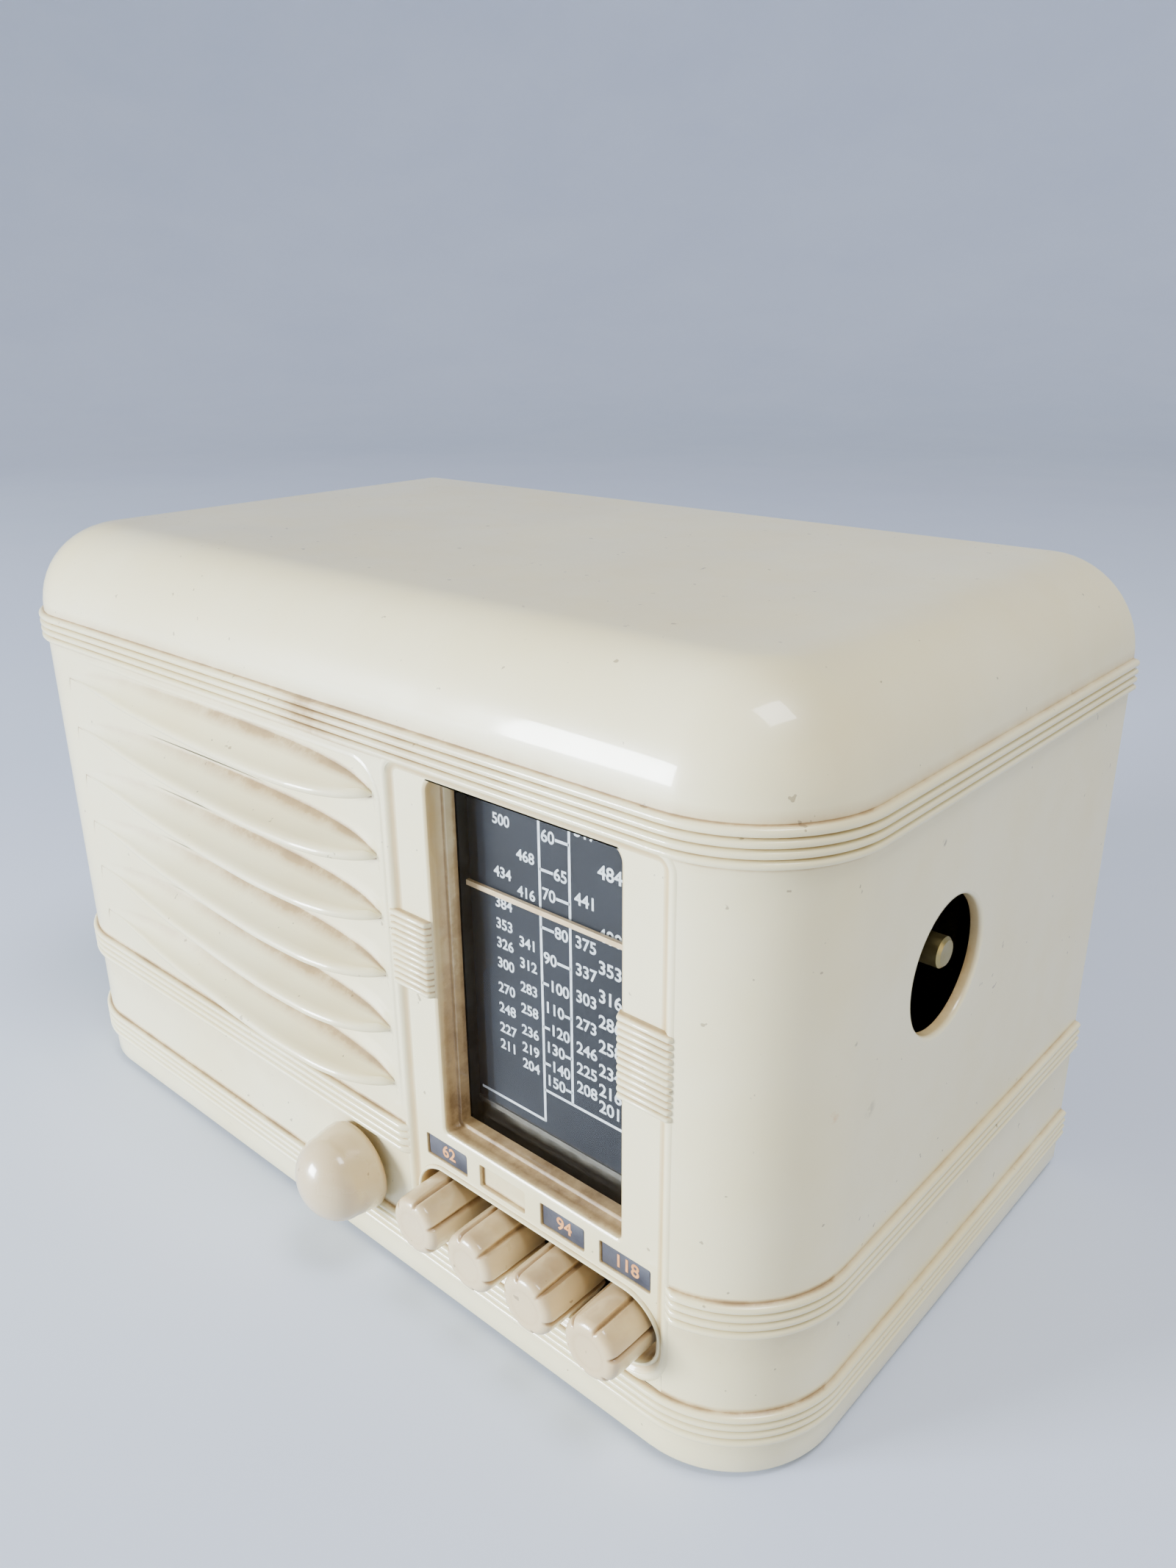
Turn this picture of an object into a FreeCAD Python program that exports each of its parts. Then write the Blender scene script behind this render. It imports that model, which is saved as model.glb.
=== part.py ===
import FreeCAD, Part

import math
import operator
import os

import Sketcher
from FreeCAD import Rotation, Vector

# A small push-button valve radio in a moulded plastic cabinet.
# Row frame: X to the right, the front faces -Y, Z up, origin under the middle of the whole object.
# Places inside the cabinet are given from its left side, its front face and the bottom of its plinth.

DIMENSIONS = {
    # cabinet
    "case_width": 250.0,
    "case_depth": 136.6,
    "case_height": 156.5,
    "foot_height": 1.5,
    "wall": 2.6,
    "corner_radius": 25.5,
    "lid_radius": 21.0,
    "strip_depth": 0.9,
    # ribs that run round the cabinet in bands of four
    "rib_proud": 1.4,
    "rib_height": 1.5,
    "rib_pitch": 1.95,
    "rib_round": 0.5,
    "base_band": 8.0,
    "lower_band": 34.4,
    "upper_band": 127.9,
    # bezel strip with the dial window
    "strip_left": 156.9,
    "strip_right": 227.3,
    "strip_bottom": 17.0,
    "window_left": 167.6,
    "window_right": 217.1,
    "window_bottom": 45.2,
    "window_top": 126.9,
    "window_depth": 7.6,
    "window_rim": 3.6,
    "clasp_bottom": 78.0,
    "clasp_pitch": 1.45,
    "clasp_proud": 1.5,
    # louvres
    "louvre_first": 50.3,
    "louvre_pitch": 13.5,
    "louvre_rise": 7.2,
    "louvre_proud": 8.2,
    "louvre_gap": 3.2,
    # push-buttons and their slot
    "slot_left": 158.0,
    "slot_right": 226.7,
    "slot_bottom": 17.5,
    "slot_height": 17.0,
    "slot_rim": 1.5,
    "button_first": 167.8,
    "button_pitch": 16.6,
    "button_level": 27.0,
    "button_radius": 6.7,
    "button_proud": 10.0,
    "button_length": 17.0,
    "plunger_radius": 2.5,
    "running_fit": 0.05,
    # volume control
    "knob_x": 139.0,
    "knob_level": 24.0,
    "knob_radius": 10.8,
    "knob_proud": 16.5,
    "shaft_radius": 3.175,
    "knob_seat": 15.0,
    "groove_radius": 2.7,
    # tuning drive
    "hole_y": 56.7,
    "hole_level": 92.5,
    "hole_radius": 14.0,
    "drive_y": 56.5,
    "drive_level": 95.0,
    "drum_radius": 22.3,
    "drum_rim": 24.6,
    "cord_x": 228.5,
    "cord_radius": 0.4,
    "cord_gap": 0.2,
    "pulley_y": 22.0,
    "pulley_radius": 4.8,
    "pulley_rim": 5.6,
    "pulley_top": 136.0,
    "pulley_bottom": 47.0,
    "pin_radius": 1.5,
    "pointer_level": 101.4,
    "rotor_radius": 19.0,
    "plate_sheet": 0.5,
    "plate_pitch": 2.6,
    "mesh_angle": 56.0,
    # dial
    "scale_left": 168.2,
    "scale_right": 220.0,
    "scale_bottom": 50.0,
    "scale_top": 131.0,
    # chassis
    "chassis_bottom": 8.0,
    "chassis_top": 40.0,
    "chassis_sheet": 1.2,
    # speaker
    "speaker_x": 90.0,
    "speaker_level": 88.0,
    "speaker_radius": 46.0,
    "cone_radius": 39.0,
    # back cover
    "cover_sheet": 2.0,
}

ALONG = {
    "x": Rotation(Vector(0, 1, 0), 90),
    "y": Rotation(Vector(1, 0, 0), -90),
    "-y": Rotation(Vector(1, 0, 0), 90),
    "z": Rotation(),
}

doc = FreeCAD.newDocument("radio")
sheet = doc.addObject("Spreadsheet::Sheet", "dims")
for row, (alias, number) in enumerate(DIMENSIONS.items(), start=1):
    sheet.set(f"A{row}", alias)
    sheet.set(f"B{row}", str(number))
    sheet.setAlias(f"B{row}", alias)
doc.recompute()


class Size:
    """A length: its value now, and the expression on the sheet that it is bound by."""

    OPERATIONS = {"+": operator.add, "-": operator.sub, "*": operator.mul, "/": operator.truediv}

    def __init__(self, value, text):
        self.value = value
        self.text = text

    @classmethod
    def of(cls, other):
        return other if isinstance(other, cls) else cls(float(other), f"({float(other):.6g})")

    @classmethod
    def joined(cls, first, sign, second):
        first, second = cls.of(first), cls.of(second)
        value = cls.OPERATIONS[sign](first.value, second.value)
        return cls(value, f"({first.text} {sign} {second.text})")

    def __add__(self, other):
        return Size.joined(self, "+", other)

    def __radd__(self, other):
        return Size.joined(other, "+", self)

    def __sub__(self, other):
        return Size.joined(self, "-", other)

    def __rsub__(self, other):
        return Size.joined(other, "-", self)

    def __mul__(self, other):
        return Size.joined(self, "*", other)

    def __rmul__(self, other):
        return Size.joined(other, "*", self)

    def __truediv__(self, other):
        return Size.joined(self, "/", other)

    def __neg__(self):
        return Size.joined(0, "-", self)


class Sizes:
    """Reads a dimension from the sheet by its name."""

    def __getattr__(self, alias):
        return Size(float(sheet.get(alias)), f"dims.{alias}")


dim = Sizes()
nodes = []


def across(x):
    """A place along X, from the cabinet's left side."""
    return x - dim.case_width / 2


def behind(y):
    """A place along Y, from the cabinet's front face."""
    return y - (dim.case_depth - dim.knob_proud) / 2


def above(z):
    """A place along Z, from the bottom of the plinth."""
    return z + dim.foot_height


def bind(thing, prop, length):
    thing.setExpression(prop, Size.of(length).text)


def place(thing, x, y, z, rotation=ALONG["z"]):
    """Puts a thing at a place given from the cabinet's left side, front face and plinth."""
    thing.Placement = FreeCAD.Placement(Vector(), rotation)
    for key, length in (("x", across(x)), ("y", behind(y)), ("z", above(z))):
        bind(thing, f"Placement.Base.{key}", length)
    return thing


def node(thing, label):
    """Names a finished sub-part, which is written to a file of that name."""
    thing.Label = label
    nodes.append(thing)
    return thing


# ---- solids ------------------------------------------------------------------------------------


def box(name, low, high):
    """A block between two corners."""
    thing = doc.addObject("Part::Box", name)
    for prop, a, b in zip(("Length", "Width", "Height"), low, high):
        bind(thing, prop, Size.of(b) - Size.of(a))
    return place(thing, *(Size.of(v) for v in low))


def rod(name, radius, start, length, along):
    """A cylinder from the middle of its first face."""
    thing = doc.addObject("Part::Cylinder", name)
    bind(thing, "Radius", radius)
    bind(thing, "Height", length)
    return place(thing, *(Size.of(v) for v in start), ALONG[along])


def fuse(name, parts):
    thing = doc.addObject("Part::MultiFuse", name)
    thing.Shapes = parts
    return thing


def cut(name, base, tools):
    thing = doc.addObject("Part::Cut", name)
    thing.Base = base
    thing.Tool = tools[0] if len(tools) == 1 else fuse(f"{name}_tools", tools)
    return thing


def group(name, parts):
    """Separate identical pieces that share one node."""
    thing = doc.addObject("Part::Compound", name)
    thing.Links = parts
    return thing


# ---- sketched solids ---------------------------------------------------------------------------


def new_sketch(body, plane):
    sketch = body.newObject("Sketcher::SketchObject", f"{body.Name}_sketch")
    origin = next(f for f in body.Origin.OriginFeatures if f.Role == plane)
    sketch.AttachmentSupport = [(origin, "")]
    sketch.MapMode = "FlatFace"
    return sketch


def hold(sketch, kind, geometry, point, length):
    """Fixes one coordinate, or a radius, to an expression."""
    length = Size.of(length)
    where = (geometry,) if point is None else (geometry, point)
    index = sketch.addConstraint(Sketcher.Constraint(kind, *where, length.value))
    sketch.setExpression(f"Constraints[{index}]", length.text)


def outline(sketch, points):
    """A closed run of straight lines."""
    points = [(Size.of(a), Size.of(b)) for a, b in points]
    corners = [Vector(a.value, b.value, 0) for a, b in points]
    first = sketch.GeometryCount
    for start, end in zip(corners, corners[1:] + corners[:1]):
        sketch.addGeometry(Part.LineSegment(start, end))
    count = len(points)
    for i in range(count):
        sketch.addConstraint(Sketcher.Constraint("Coincident", first + i, 2, first + (i + 1) % count, 1))
    for i, (a, b) in enumerate(points):
        hold(sketch, "DistanceX", first + i, 1, a)
        hold(sketch, "DistanceY", first + i, 1, b)


def circle(sketch, a, b, radius):
    a, b, radius = Size.of(a), Size.of(b), Size.of(radius)
    index = sketch.addGeometry(Part.Circle(Vector(a.value, b.value, 0), Vector(0, 0, 1), radius.value))
    hold(sketch, "DistanceX", index, 3, a)
    hold(sketch, "DistanceY", index, 3, b)
    hold(sketch, "Radius", index, None, radius)


def rectangle(low_a, low_b, high_a, high_b):
    return [(low_a, low_b), (high_a, low_b), (high_a, high_b), (low_a, high_b)]


def padded(name, plane, length, outlines=(), circles=()):
    """A body padded from straight outlines and circles."""
    body = doc.addObject("PartDesign::Body", name)
    sketch = new_sketch(body, plane)
    for points in outlines:
        outline(sketch, points)
    for a, b, radius in circles:
        circle(sketch, a, b, radius)
    pad = body.newObject("PartDesign::Pad", f"{name}_pad")
    pad.Profile = sketch
    bind(pad, "Length", length)
    return body


def turned(name, profile):
    """A body turned about its own Z from a profile of (radius, height) points."""
    body = doc.addObject("PartDesign::Body", name)
    sketch = new_sketch(body, "XZ_Plane")
    outline(sketch, profile)
    spin = body.newObject("PartDesign::Revolution", f"{name}_turn")
    spin.Profile = sketch
    spin.ReferenceAxis = (sketch, ["V_Axis"])
    spin.Angle = 360
    return body


def rounded(body, name, radius, test):
    """Rounds the edges of a body that pass a test."""
    doc.recompute()
    base = body.Tip
    edges = [f"Edge{i}" for i, edge in enumerate(base.Shape.Edges, start=1) if test(edge)]
    fillet = body.newObject("PartDesign::Fillet", name)
    fillet.Base = (base, edges)
    bind(fillet, "Radius", radius)
    return fillet


def sheet_with_holes(name, plane, thickness, outer, holes):
    """A flat sheet with round holes."""
    return padded(name, plane, thickness, [outer], holes)


def all_at(edge, axis, value):
    """Whether every end of an edge has this coordinate."""
    return all(abs(getattr(v.Point, axis) - value) < 1e-4 for v in edge.Vertexes)


# ---- cabinet -----------------------------------------------------------------------------------


def corner_block(name, inset, back, height):
    """A block whose two front corners are rounded, inset from the cabinet's outer faces."""
    body = padded(name, "XY_Plane", height,
                  [rectangle(Size.of(inset), Size.of(inset), dim.case_width - inset, back)])
    front = Size.of(inset).value

    def front_corner(edge):
        upright = abs(edge.BoundBox.ZLength - height.value) < 1e-4
        return upright and all_at(edge, "y", front)

    rounded(body, f"{name}_corners", dim.corner_radius - inset, front_corner)
    return body


def lidded_block(name, inset, back, height):
    """A corner block whose top edges are rounded at the front and both sides."""
    body = corner_block(name, inset, back, height)

    def lid_edge(edge):
        return all_at(edge, "z", height.value) and not all_at(edge, "y", back.value)

    rounded(body, f"{name}_lid", dim.lid_radius - inset, lid_edge)
    return body


def rib(name, level):
    """One rib: a slab a little wider than the cabinet, with its outer edges rounded."""
    back, height = dim.case_depth, dim.rib_height
    body = corner_block(name, -dim.rib_proud, back, height)

    def outer_edge(edge):
        flat = all_at(edge, "z", 0) or all_at(edge, "z", height.value)
        return flat and not all_at(edge, "y", back.value)

    rounded(body, f"{name}_round", dim.rib_round, outer_edge)
    return place(body, Size.of(0), Size.of(0), level)


def stadium(name, left, right, bottom, height, start, depth):
    """A bar with fully round ends, lying along X and going back from start."""
    radius = height / 2
    middle = bottom + radius
    return fuse(name, [
        box(f"{name}_bar", (left + radius, start, bottom), (right - radius, start + depth, bottom + height)),
        rod(f"{name}_left", radius, (left + radius, start, middle), depth, "y"),
        rod(f"{name}_right", radius, (right - radius, start, middle), depth, "y"),
    ])


LOUVRE_STATIONS = (
    # distance from the cabinet's left side, share of the reach, height of the lip, share of the rise
    (27.4, 0.02, 1.9, 0.34), (40.7, 0.16, 1.1, 0.66), (50.0, 0.31, 0.4, 0.84), (61.0, 0.47, 0.0, 0.96),
    (75.0, 0.65, 0.0, 1.0), (90.0, 0.81, 0.0, 1.0), (105.0, 0.93, 0.0, 1.0), (120.0, 1.0, 0.0, 0.98),
    (132.0, 0.97, 0.0, 0.92), (140.0, 0.84, 0.0, 0.82), (146.0, 0.62, 0.1, 0.66), (150.0, 0.38, 0.3, 0.48),
    (153.0, 0.1, 0.9, 0.3),
)
LOUVRE_GAP_ENDS = (56.0, 140.0)
LOUVRES = 6


def louvre_level(index):
    """The height of a louvre's lip."""
    return dim.louvre_first + dim.louvre_pitch * index


def louvre_section(reach_share, lip, rise_share):
    """A section through a hood: the sloping top, the blunt nose and the underside."""
    reach, rise = dim.louvre_proud * reach_share, dim.louvre_rise * rise_share
    nose = min(1.0, reach.value / 2.4)
    under = (rise - lip) * 0.6 + lip
    root = 0.6
    return [
        (root, rise), (0, rise), (0.8 * nose - reach, lip + 1.9 * nose), (-reach, lip + 1.1 * nose),
        (0.3 * nose - reach, lip), (1.5 * nose - reach, lip), (0, under), (root, under),
    ]


def louvre_hood(index):
    """A hood open underneath, lofted through its sections from a point at the left to the blunt right end."""
    body = doc.addObject("PartDesign::Body", f"hood_{index}")
    sections = []
    for x, reach_share, lip, rise_share in LOUVRE_STATIONS:
        sketch = new_sketch(body, "YZ_Plane")
        bind(sketch, "AttachmentOffset.Base.z", Size.of(x))
        outline(sketch, louvre_section(reach_share, lip, rise_share))
        sections.append(sketch)
    loft = body.newObject("PartDesign::AdditiveLoft", f"hood_{index}_loft")
    loft.Profile = sections[0]
    loft.Sections = sections[1:]
    loft.Ruled = True
    return place(body, 0, 0, louvre_level(index))


def louvre_opening(index):
    left, right = LOUVRE_GAP_ENDS
    lip = louvre_level(index)
    return box(f"louvre_opening_{index}", (left, -1, lip - 0.2), (right, dim.wall + 1, lip + dim.louvre_gap))


def clasp(name, left, right):
    """A reeded motif beside the window: a backing with fine level ridges."""
    ridges = 12
    top = dim.clasp_bottom + dim.clasp_pitch * ridges
    parts = [box(f"{name}_backing", (left, -dim.clasp_proud / 2, dim.clasp_bottom),
                 (right, dim.wall / 2, top))]
    for i in range(ridges):
        low = dim.clasp_bottom + dim.clasp_pitch * (i + 0.15)
        parts.append(box(f"{name}_ridge_{i}", (left + 0.4, -dim.clasp_proud, low),
                         (right - 0.4, dim.wall / 2, low + dim.clasp_pitch * 0.7)))
    return fuse(name, parts)


LABEL_RECESSES = ((161.5, 174.0), (178.0, 191.0), (195.5, 207.2), (211.2, 223.7))
LABEL_BOTTOM, LABEL_TOP = 36.9, 42.3
LABEL_DEPTH = 1.2
BOSS_REACH = 9.0
BOSS_LEVELS = (22.0, 112.0)
COVER_INSET = 4.0
FLOOR_SCREWS = ((30.0, 40.0), (220.0, 100.0), (30.0, 100.0), (146.0, 40.0))


def boss_places():
    """Where the four back cover screws sit: beside each side wall, low and high."""
    reach = dim.wall + BOSS_REACH / 2
    return [(x, level) for x in (reach, dim.case_width - reach) for level in BOSS_LEVELS]


def cabinet():
    outer = [place(lidded_block("case_outside", 0, dim.case_depth, dim.case_height),
                   Size.of(0), Size.of(0), Size.of(0))]
    for band, level in (("base", dim.base_band), ("lower", dim.lower_band), ("upper", dim.upper_band)):
        for i in range(4):
            outer.append(rib(f"{band}_rib_{i}", level + dim.rib_pitch * i))
    cavity = lidded_block("case_inside", dim.wall, dim.case_depth + 5, dim.case_height - dim.wall * 2)
    place(cavity, Size.of(0), Size.of(0), dim.wall)
    hollow = cut("hollow_case", fuse("ribbed_case", outer), [cavity])
    strip = box("strip_recess", (dim.strip_left, -5, dim.strip_bottom),
                (dim.strip_right, dim.strip_depth, dim.upper_band))
    stripped = cut("stripped_case", hollow, [strip])

    rim = dim.window_rim
    added = [
        stripped,
        box("window_frame", (dim.window_left - rim, dim.strip_depth, dim.window_bottom - rim),
            (dim.window_right + rim, dim.window_depth, dim.window_top + rim)),
        stadium("slot_collar", dim.slot_left - dim.slot_rim, dim.slot_right + dim.slot_rim,
                dim.slot_bottom - dim.slot_rim, dim.slot_height + dim.slot_rim * 2,
                Size.of(-0.3), dim.wall + 0.3),
        clasp("left_clasp", Size.of(156.3), dim.window_left),
        clasp("right_clasp", dim.window_right, Size.of(228.5)),
    ]
    for i, (x, level) in enumerate(boss_places()):
        added.append(box(f"boss_{i}", (x - BOSS_REACH / 2 - 0.5, dim.case_depth - 24, level - 5),
                         (x + BOSS_REACH / 2, dim.case_depth - COVER_INSET, level + 5)))
        if x.value > dim.case_width.value / 2:
            added[-1].setExpression("Length", Size.of(BOSS_REACH + 0.5).text)
    tools = [
        box("window_hole", (dim.window_left, -5, dim.window_bottom),
            (dim.window_right, dim.window_depth + 5, dim.window_top)),
        stadium("button_slot", dim.slot_left, dim.slot_right, dim.slot_bottom, dim.slot_height,
                Size.of(-5), Size.of(15)),
        rod("tuning_hole", dim.hole_radius, (dim.case_width - 10, dim.hole_y, dim.hole_level), 20, "x"),
        rod("volume_hole", 5.5, (dim.knob_x, -5, dim.knob_level), 15, "y"),
    ]
    for i, (left, right) in enumerate(LABEL_RECESSES):
        tools.append(box(f"label_recess_{i}", (left, -1, LABEL_BOTTOM),
                         (right, dim.strip_depth + LABEL_DEPTH, LABEL_TOP)))
    for i, (x, level) in enumerate(boss_places()):
        tools.append(rod(f"boss_hole_{i}", 1.4, (x, dim.case_depth - 20, level), 25, "y"))
    for i, (x, y) in enumerate(FLOOR_SCREWS):
        tools.append(rod(f"floor_hole_{i}", 2.2, (x, y, -1), 8, "z"))
    tools += [louvre_opening(i) for i in range(LOUVRES)]
    opened = cut("opened_case", fuse("built_case", added), tools)
    node(fuse("cabinet_shell", [opened] + [louvre_hood(i) for i in range(LOUVRES)]), "cabinet_shell")


def feet():
    pads = []
    for i, (x, y) in enumerate(((18, 18), (232, 18), (18, 122), (232, 122))):
        pads.append(rod(f"foot_{i}", 7, (x, y, -dim.foot_height), dim.foot_height, "z"))
    node(group("feet", pads), "feet")


# ---- dial --------------------------------------------------------------------------------------

FRAME_SHEET = 1.0
FRAME_Y = 13.0
SPINE_X = 221.0
SCALE_Y, SCALE_BACK = 11.0, 11.8
RAIL_X, RAIL_Y, RAIL_RADIUS = 225.0, 16.0, 1.0
LAMP_X, LAMP_Y, LAMP_LEVEL = 194.0, 21.0, 129.0


def label_tabs():
    tabs = []
    for i in (0, 2, 3):
        left, right = LABEL_RECESSES[i]
        tabs.append(box(f"label_tab_{i}", (left + 0.2, dim.strip_depth + 0.5, LABEL_BOTTOM + 0.2),
                        (right - 0.2, dim.strip_depth + LABEL_DEPTH, LABEL_TOP - 0.2)))
    node(group("label_tabs", tabs), "label_tabs")


def dial():
    rim = dim.window_rim - 0.6
    node(box("dial_window", (dim.window_left - rim, dim.window_depth, dim.window_bottom - rim),
             (dim.window_right + rim, dim.window_depth + 1, dim.window_top + rim)), "dial_window")
    node(box("dial_scale", (dim.scale_left, SCALE_Y, dim.scale_bottom),
             (dim.scale_right, SCALE_BACK, dim.scale_top)), "dial_scale")
    left, low, high = 160.0, 40.0, 144.0
    frame = fuse("dial_frame", [
        box("frame_sheet", (left, FRAME_Y, low), (SPINE_X + FRAME_SHEET, FRAME_Y + FRAME_SHEET, high)),
        box("frame_channel", (161.5, 9.6, low), (166.8, FRAME_Y, high - 10)),
        box("frame_shelf", (dim.scale_left, SCALE_Y - 0.4, dim.scale_bottom - 1.2),
            (dim.scale_right, FRAME_Y, dim.scale_bottom)),
        box("frame_ledge", (dim.scale_left, SCALE_BACK, dim.scale_top - 4),
            (dim.scale_right, FRAME_Y, dim.scale_top)),
        box("frame_sill", (dim.scale_left, SCALE_BACK, dim.scale_bottom),
            (dim.scale_right, FRAME_Y, dim.scale_bottom + 4)),
        box("frame_spine", (SPINE_X, FRAME_Y, low), (SPINE_X + FRAME_SHEET, 30, high)),
        box("frame_top_tab", (SPINE_X, FRAME_Y, high - 1.2), (231, 20, high)),
        box("frame_foot_tab", (SPINE_X, FRAME_Y + FRAME_SHEET, low), (231, 20, low + 0.8)),
        box("frame_foot", (left, FRAME_Y + FRAME_SHEET, low), (SPINE_X, 24, low + 1.2)),
        rod("pulley_pin_top", dim.pin_radius, (SPINE_X, dim.pulley_y, dim.pulley_top), 11.5, "x"),
        rod("pulley_pin_bottom", dim.pin_radius, (SPINE_X, dim.pulley_y, dim.pulley_bottom), 11.5, "x"),
        rod("pointer_rail", RAIL_RADIUS, (RAIL_X, RAIL_Y, low), high - low, "z"),
        box("lamp_bracket", (LAMP_X - 6, FRAME_Y + FRAME_SHEET, LAMP_LEVEL - 8),
            (LAMP_X + 6, LAMP_Y - 4, LAMP_LEVEL)),
        rod("lamp_barrel", 5.0, (LAMP_X, LAMP_Y, LAMP_LEVEL - 10), 10, "z"),
    ])
    node(frame, "dial_frame")


def pointer():
    """The level bar in front of the scale, and the slider that carries it on its rail."""
    level = dim.pointer_level
    body = fuse("pointer_blank", [
        box("pointer_bar", (dim.scale_left + 0.3, 9.6, level - 0.55), (RAIL_X + 2.0, 10.4, level + 0.55)),
        box("pointer_arm", (RAIL_X - 1.0, 9.6, level - 1.5), (RAIL_X + 2.0, RAIL_Y, level + 1.5)),
        box("pointer_slider", (RAIL_X - 2.2, RAIL_Y - 2.2, level - 3.0),
            (RAIL_X + 1.2, RAIL_Y + 2.2, level + 3.0)),
        box("pointer_clip", (RAIL_X, RAIL_Y - 2.2, level - 1.0),
            (dim.cord_x + 0.6, RAIL_Y - 0.4, level + 1.0)),
    ])
    bore = rod("pointer_bore", RAIL_RADIUS + dim.running_fit, (RAIL_X, RAIL_Y, level - 6), 12, "z")
    node(cut("dial_pointer", body, [bore]), "dial_pointer")


def grooved_wheel(name, rim, groove, bore, width, hub_radius, hub_length):
    """A wheel with a cord groove, turned about its own axis, and a hub on one side."""
    half = width / 2
    lip = 0.9
    return turned(name, [
        (bore, -half - hub_length), (hub_radius, -half - hub_length), (hub_radius, -half), (rim, -half),
        (rim, -half + 0.6), (groove, -lip), (groove, lip), (rim, half - 0.6), (rim, half), (bore, half),
    ])


def pulleys():
    for end, level in (("top", dim.pulley_top), ("bottom", dim.pulley_bottom)):
        wheel = grooved_wheel(f"pulley_{end}", dim.pulley_rim, dim.pulley_radius,
                              dim.pin_radius + dim.running_fit, Size.of(4), Size.of(2.6), Size.of(1.5))
        place(wheel, dim.cord_x, dim.pulley_y, level, ALONG["x"])
        node(wheel, f"pulley_{end}")


def belt_wire(circles):
    """A taut closed loop round three wheels, given clockwise, in the plane of Y and Z."""
    count = len(circles)
    spans = []
    for i in range(count):
        (ya, za, ra), (yb, zb, rb) = circles[i], circles[(i + 1) % count]
        run = math.hypot(yb - ya, zb - za)
        lean = math.atan2(zb - za, yb - ya) + math.acos((ra - rb) / run)
        spans.append((Vector(0, ya + ra * math.cos(lean), za + ra * math.sin(lean)),
                      Vector(0, yb + rb * math.cos(lean), zb + rb * math.sin(lean)), lean))
    edges = []
    for i in range(count):
        start, end, lean = spans[i]
        edges.append(Part.LineSegment(start, end).toShape())
        y, z, radius = circles[(i + 1) % count]
        leaving = spans[(i + 1) % count]
        turn = (lean - leaving[2]) % (2 * math.pi)
        half = lean - turn / 2
        middle = Vector(0, y + radius * math.cos(half), z + radius * math.sin(half))
        edges.append(Part.Arc(end, middle, leaving[0]).toShape())
    return Part.Wire(Part.__sortEdges__(edges))


def dial_cord():
    """The taut string from the drum over both pulleys, with the pointer on its front run."""
    lift = (dim.cord_gap + dim.cord_radius).value
    wheels = [
        (behind(dim.pulley_y).value, above(dim.pulley_bottom).value, dim.pulley_radius.value + lift),
        (behind(dim.pulley_y).value, above(dim.pulley_top).value, dim.pulley_radius.value + lift),
        (behind(dim.drive_y).value, above(dim.drive_level).value, dim.drum_radius.value + lift),
    ]
    path = belt_wire(wheels)
    first = path.Edges[0]
    start = first.valueAt(first.FirstParameter)
    ring = Part.Circle(start, first.tangentAt(first.FirstParameter), dim.cord_radius.value)
    thing = doc.addObject("Part::Feature", "dial_cord")
    thing.Shape = path.makePipeShell([Part.Wire(ring.toShape())], True, False)
    thing.Placement = FreeCAD.Placement(Vector(across(dim.cord_x).value, 0, 0), Rotation())
    node(thing, "dial_cord")


# ---- tuning condenser --------------------------------------------------------------------------

PLATES = 7
SECTIONS = (176.0, 199.0)
FRAME_LEFT, FRAME_RIGHT = 168.0, 218.0
END_SHEET = 2.0


def tuning_shaft():
    """The drive shaft; a retaining-ring groove marks where the knob's seat begins."""
    end = dim.case_width - 0.6
    start = 166.0
    seat = end - 0.6 - dim.knob_seat - start
    shaft = turned("tuning_shaft", [
        (0, 0), (dim.shaft_radius, 0), (dim.shaft_radius, seat - 1.0), (dim.groove_radius, seat - 1.0),
        (dim.groove_radius, seat), (dim.shaft_radius, seat), (dim.shaft_radius, end - start - 0.6),
        (dim.shaft_radius - 0.6, end - start), (0, end - start),
    ])
    place(shaft, start, dim.drive_y, dim.drive_level, ALONG["x"])
    node(shaft, "tuning_shaft")


def dial_drum():
    drum = grooved_wheel("drum_blank", dim.drum_rim, dim.drum_radius, dim.shaft_radius,
                         Size.of(4), Size.of(8), Size.of(4))
    place(drum, dim.cord_x, dim.drive_y, dim.drive_level, ALONG["x"])
    windows = []
    for i in range(3):
        turn = math.radians(120 * i + 60)
        windows.append(rod(f"drum_window_{i}", 5.0,
                           (dim.cord_x - 5, dim.drive_y + 14.5 * math.cos(turn),
                            dim.drive_level + 14.5 * math.sin(turn)), 10, "x"))
    node(cut("dial_drum", drum, windows), "dial_drum")


def condenser_rotor():
    """Half-round plates on a sleeve, turned out of mesh by the angle that the rest pose has."""
    sleeve = turned("rotor_sleeve", rectangle(dim.shaft_radius, 0, 5, FRAME_RIGHT - FRAME_LEFT - 6))
    place(sleeve, FRAME_LEFT + END_SHEET + 2, dim.drive_y, dim.drive_level, ALONG["x"])
    parts = [sleeve]
    tilt = Rotation(Vector(1, 0, 0), dim.mesh_angle.value + 180)
    for section, first in enumerate(SECTIONS):
        for i in range(PLATES):
            plate = doc.addObject("Part::Cylinder", f"rotor_plate_{section}_{i}")
            bind(plate, "Radius", dim.rotor_radius)
            bind(plate, "Height", dim.plate_sheet)
            plate.Angle = 180
            place(plate, first + dim.plate_pitch * i, dim.drive_y, dim.drive_level,
                  tilt.multiply(Rotation(Vector(1, 1, 1), 120)))
            parts.append(plate)
    bore = rod("rotor_bore", dim.shaft_radius, (160, dim.drive_y, dim.drive_level), 70, "x")
    node(cut("condenser_rotor", fuse("rotor_stack", parts), [bore]), "condenser_rotor")


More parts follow.
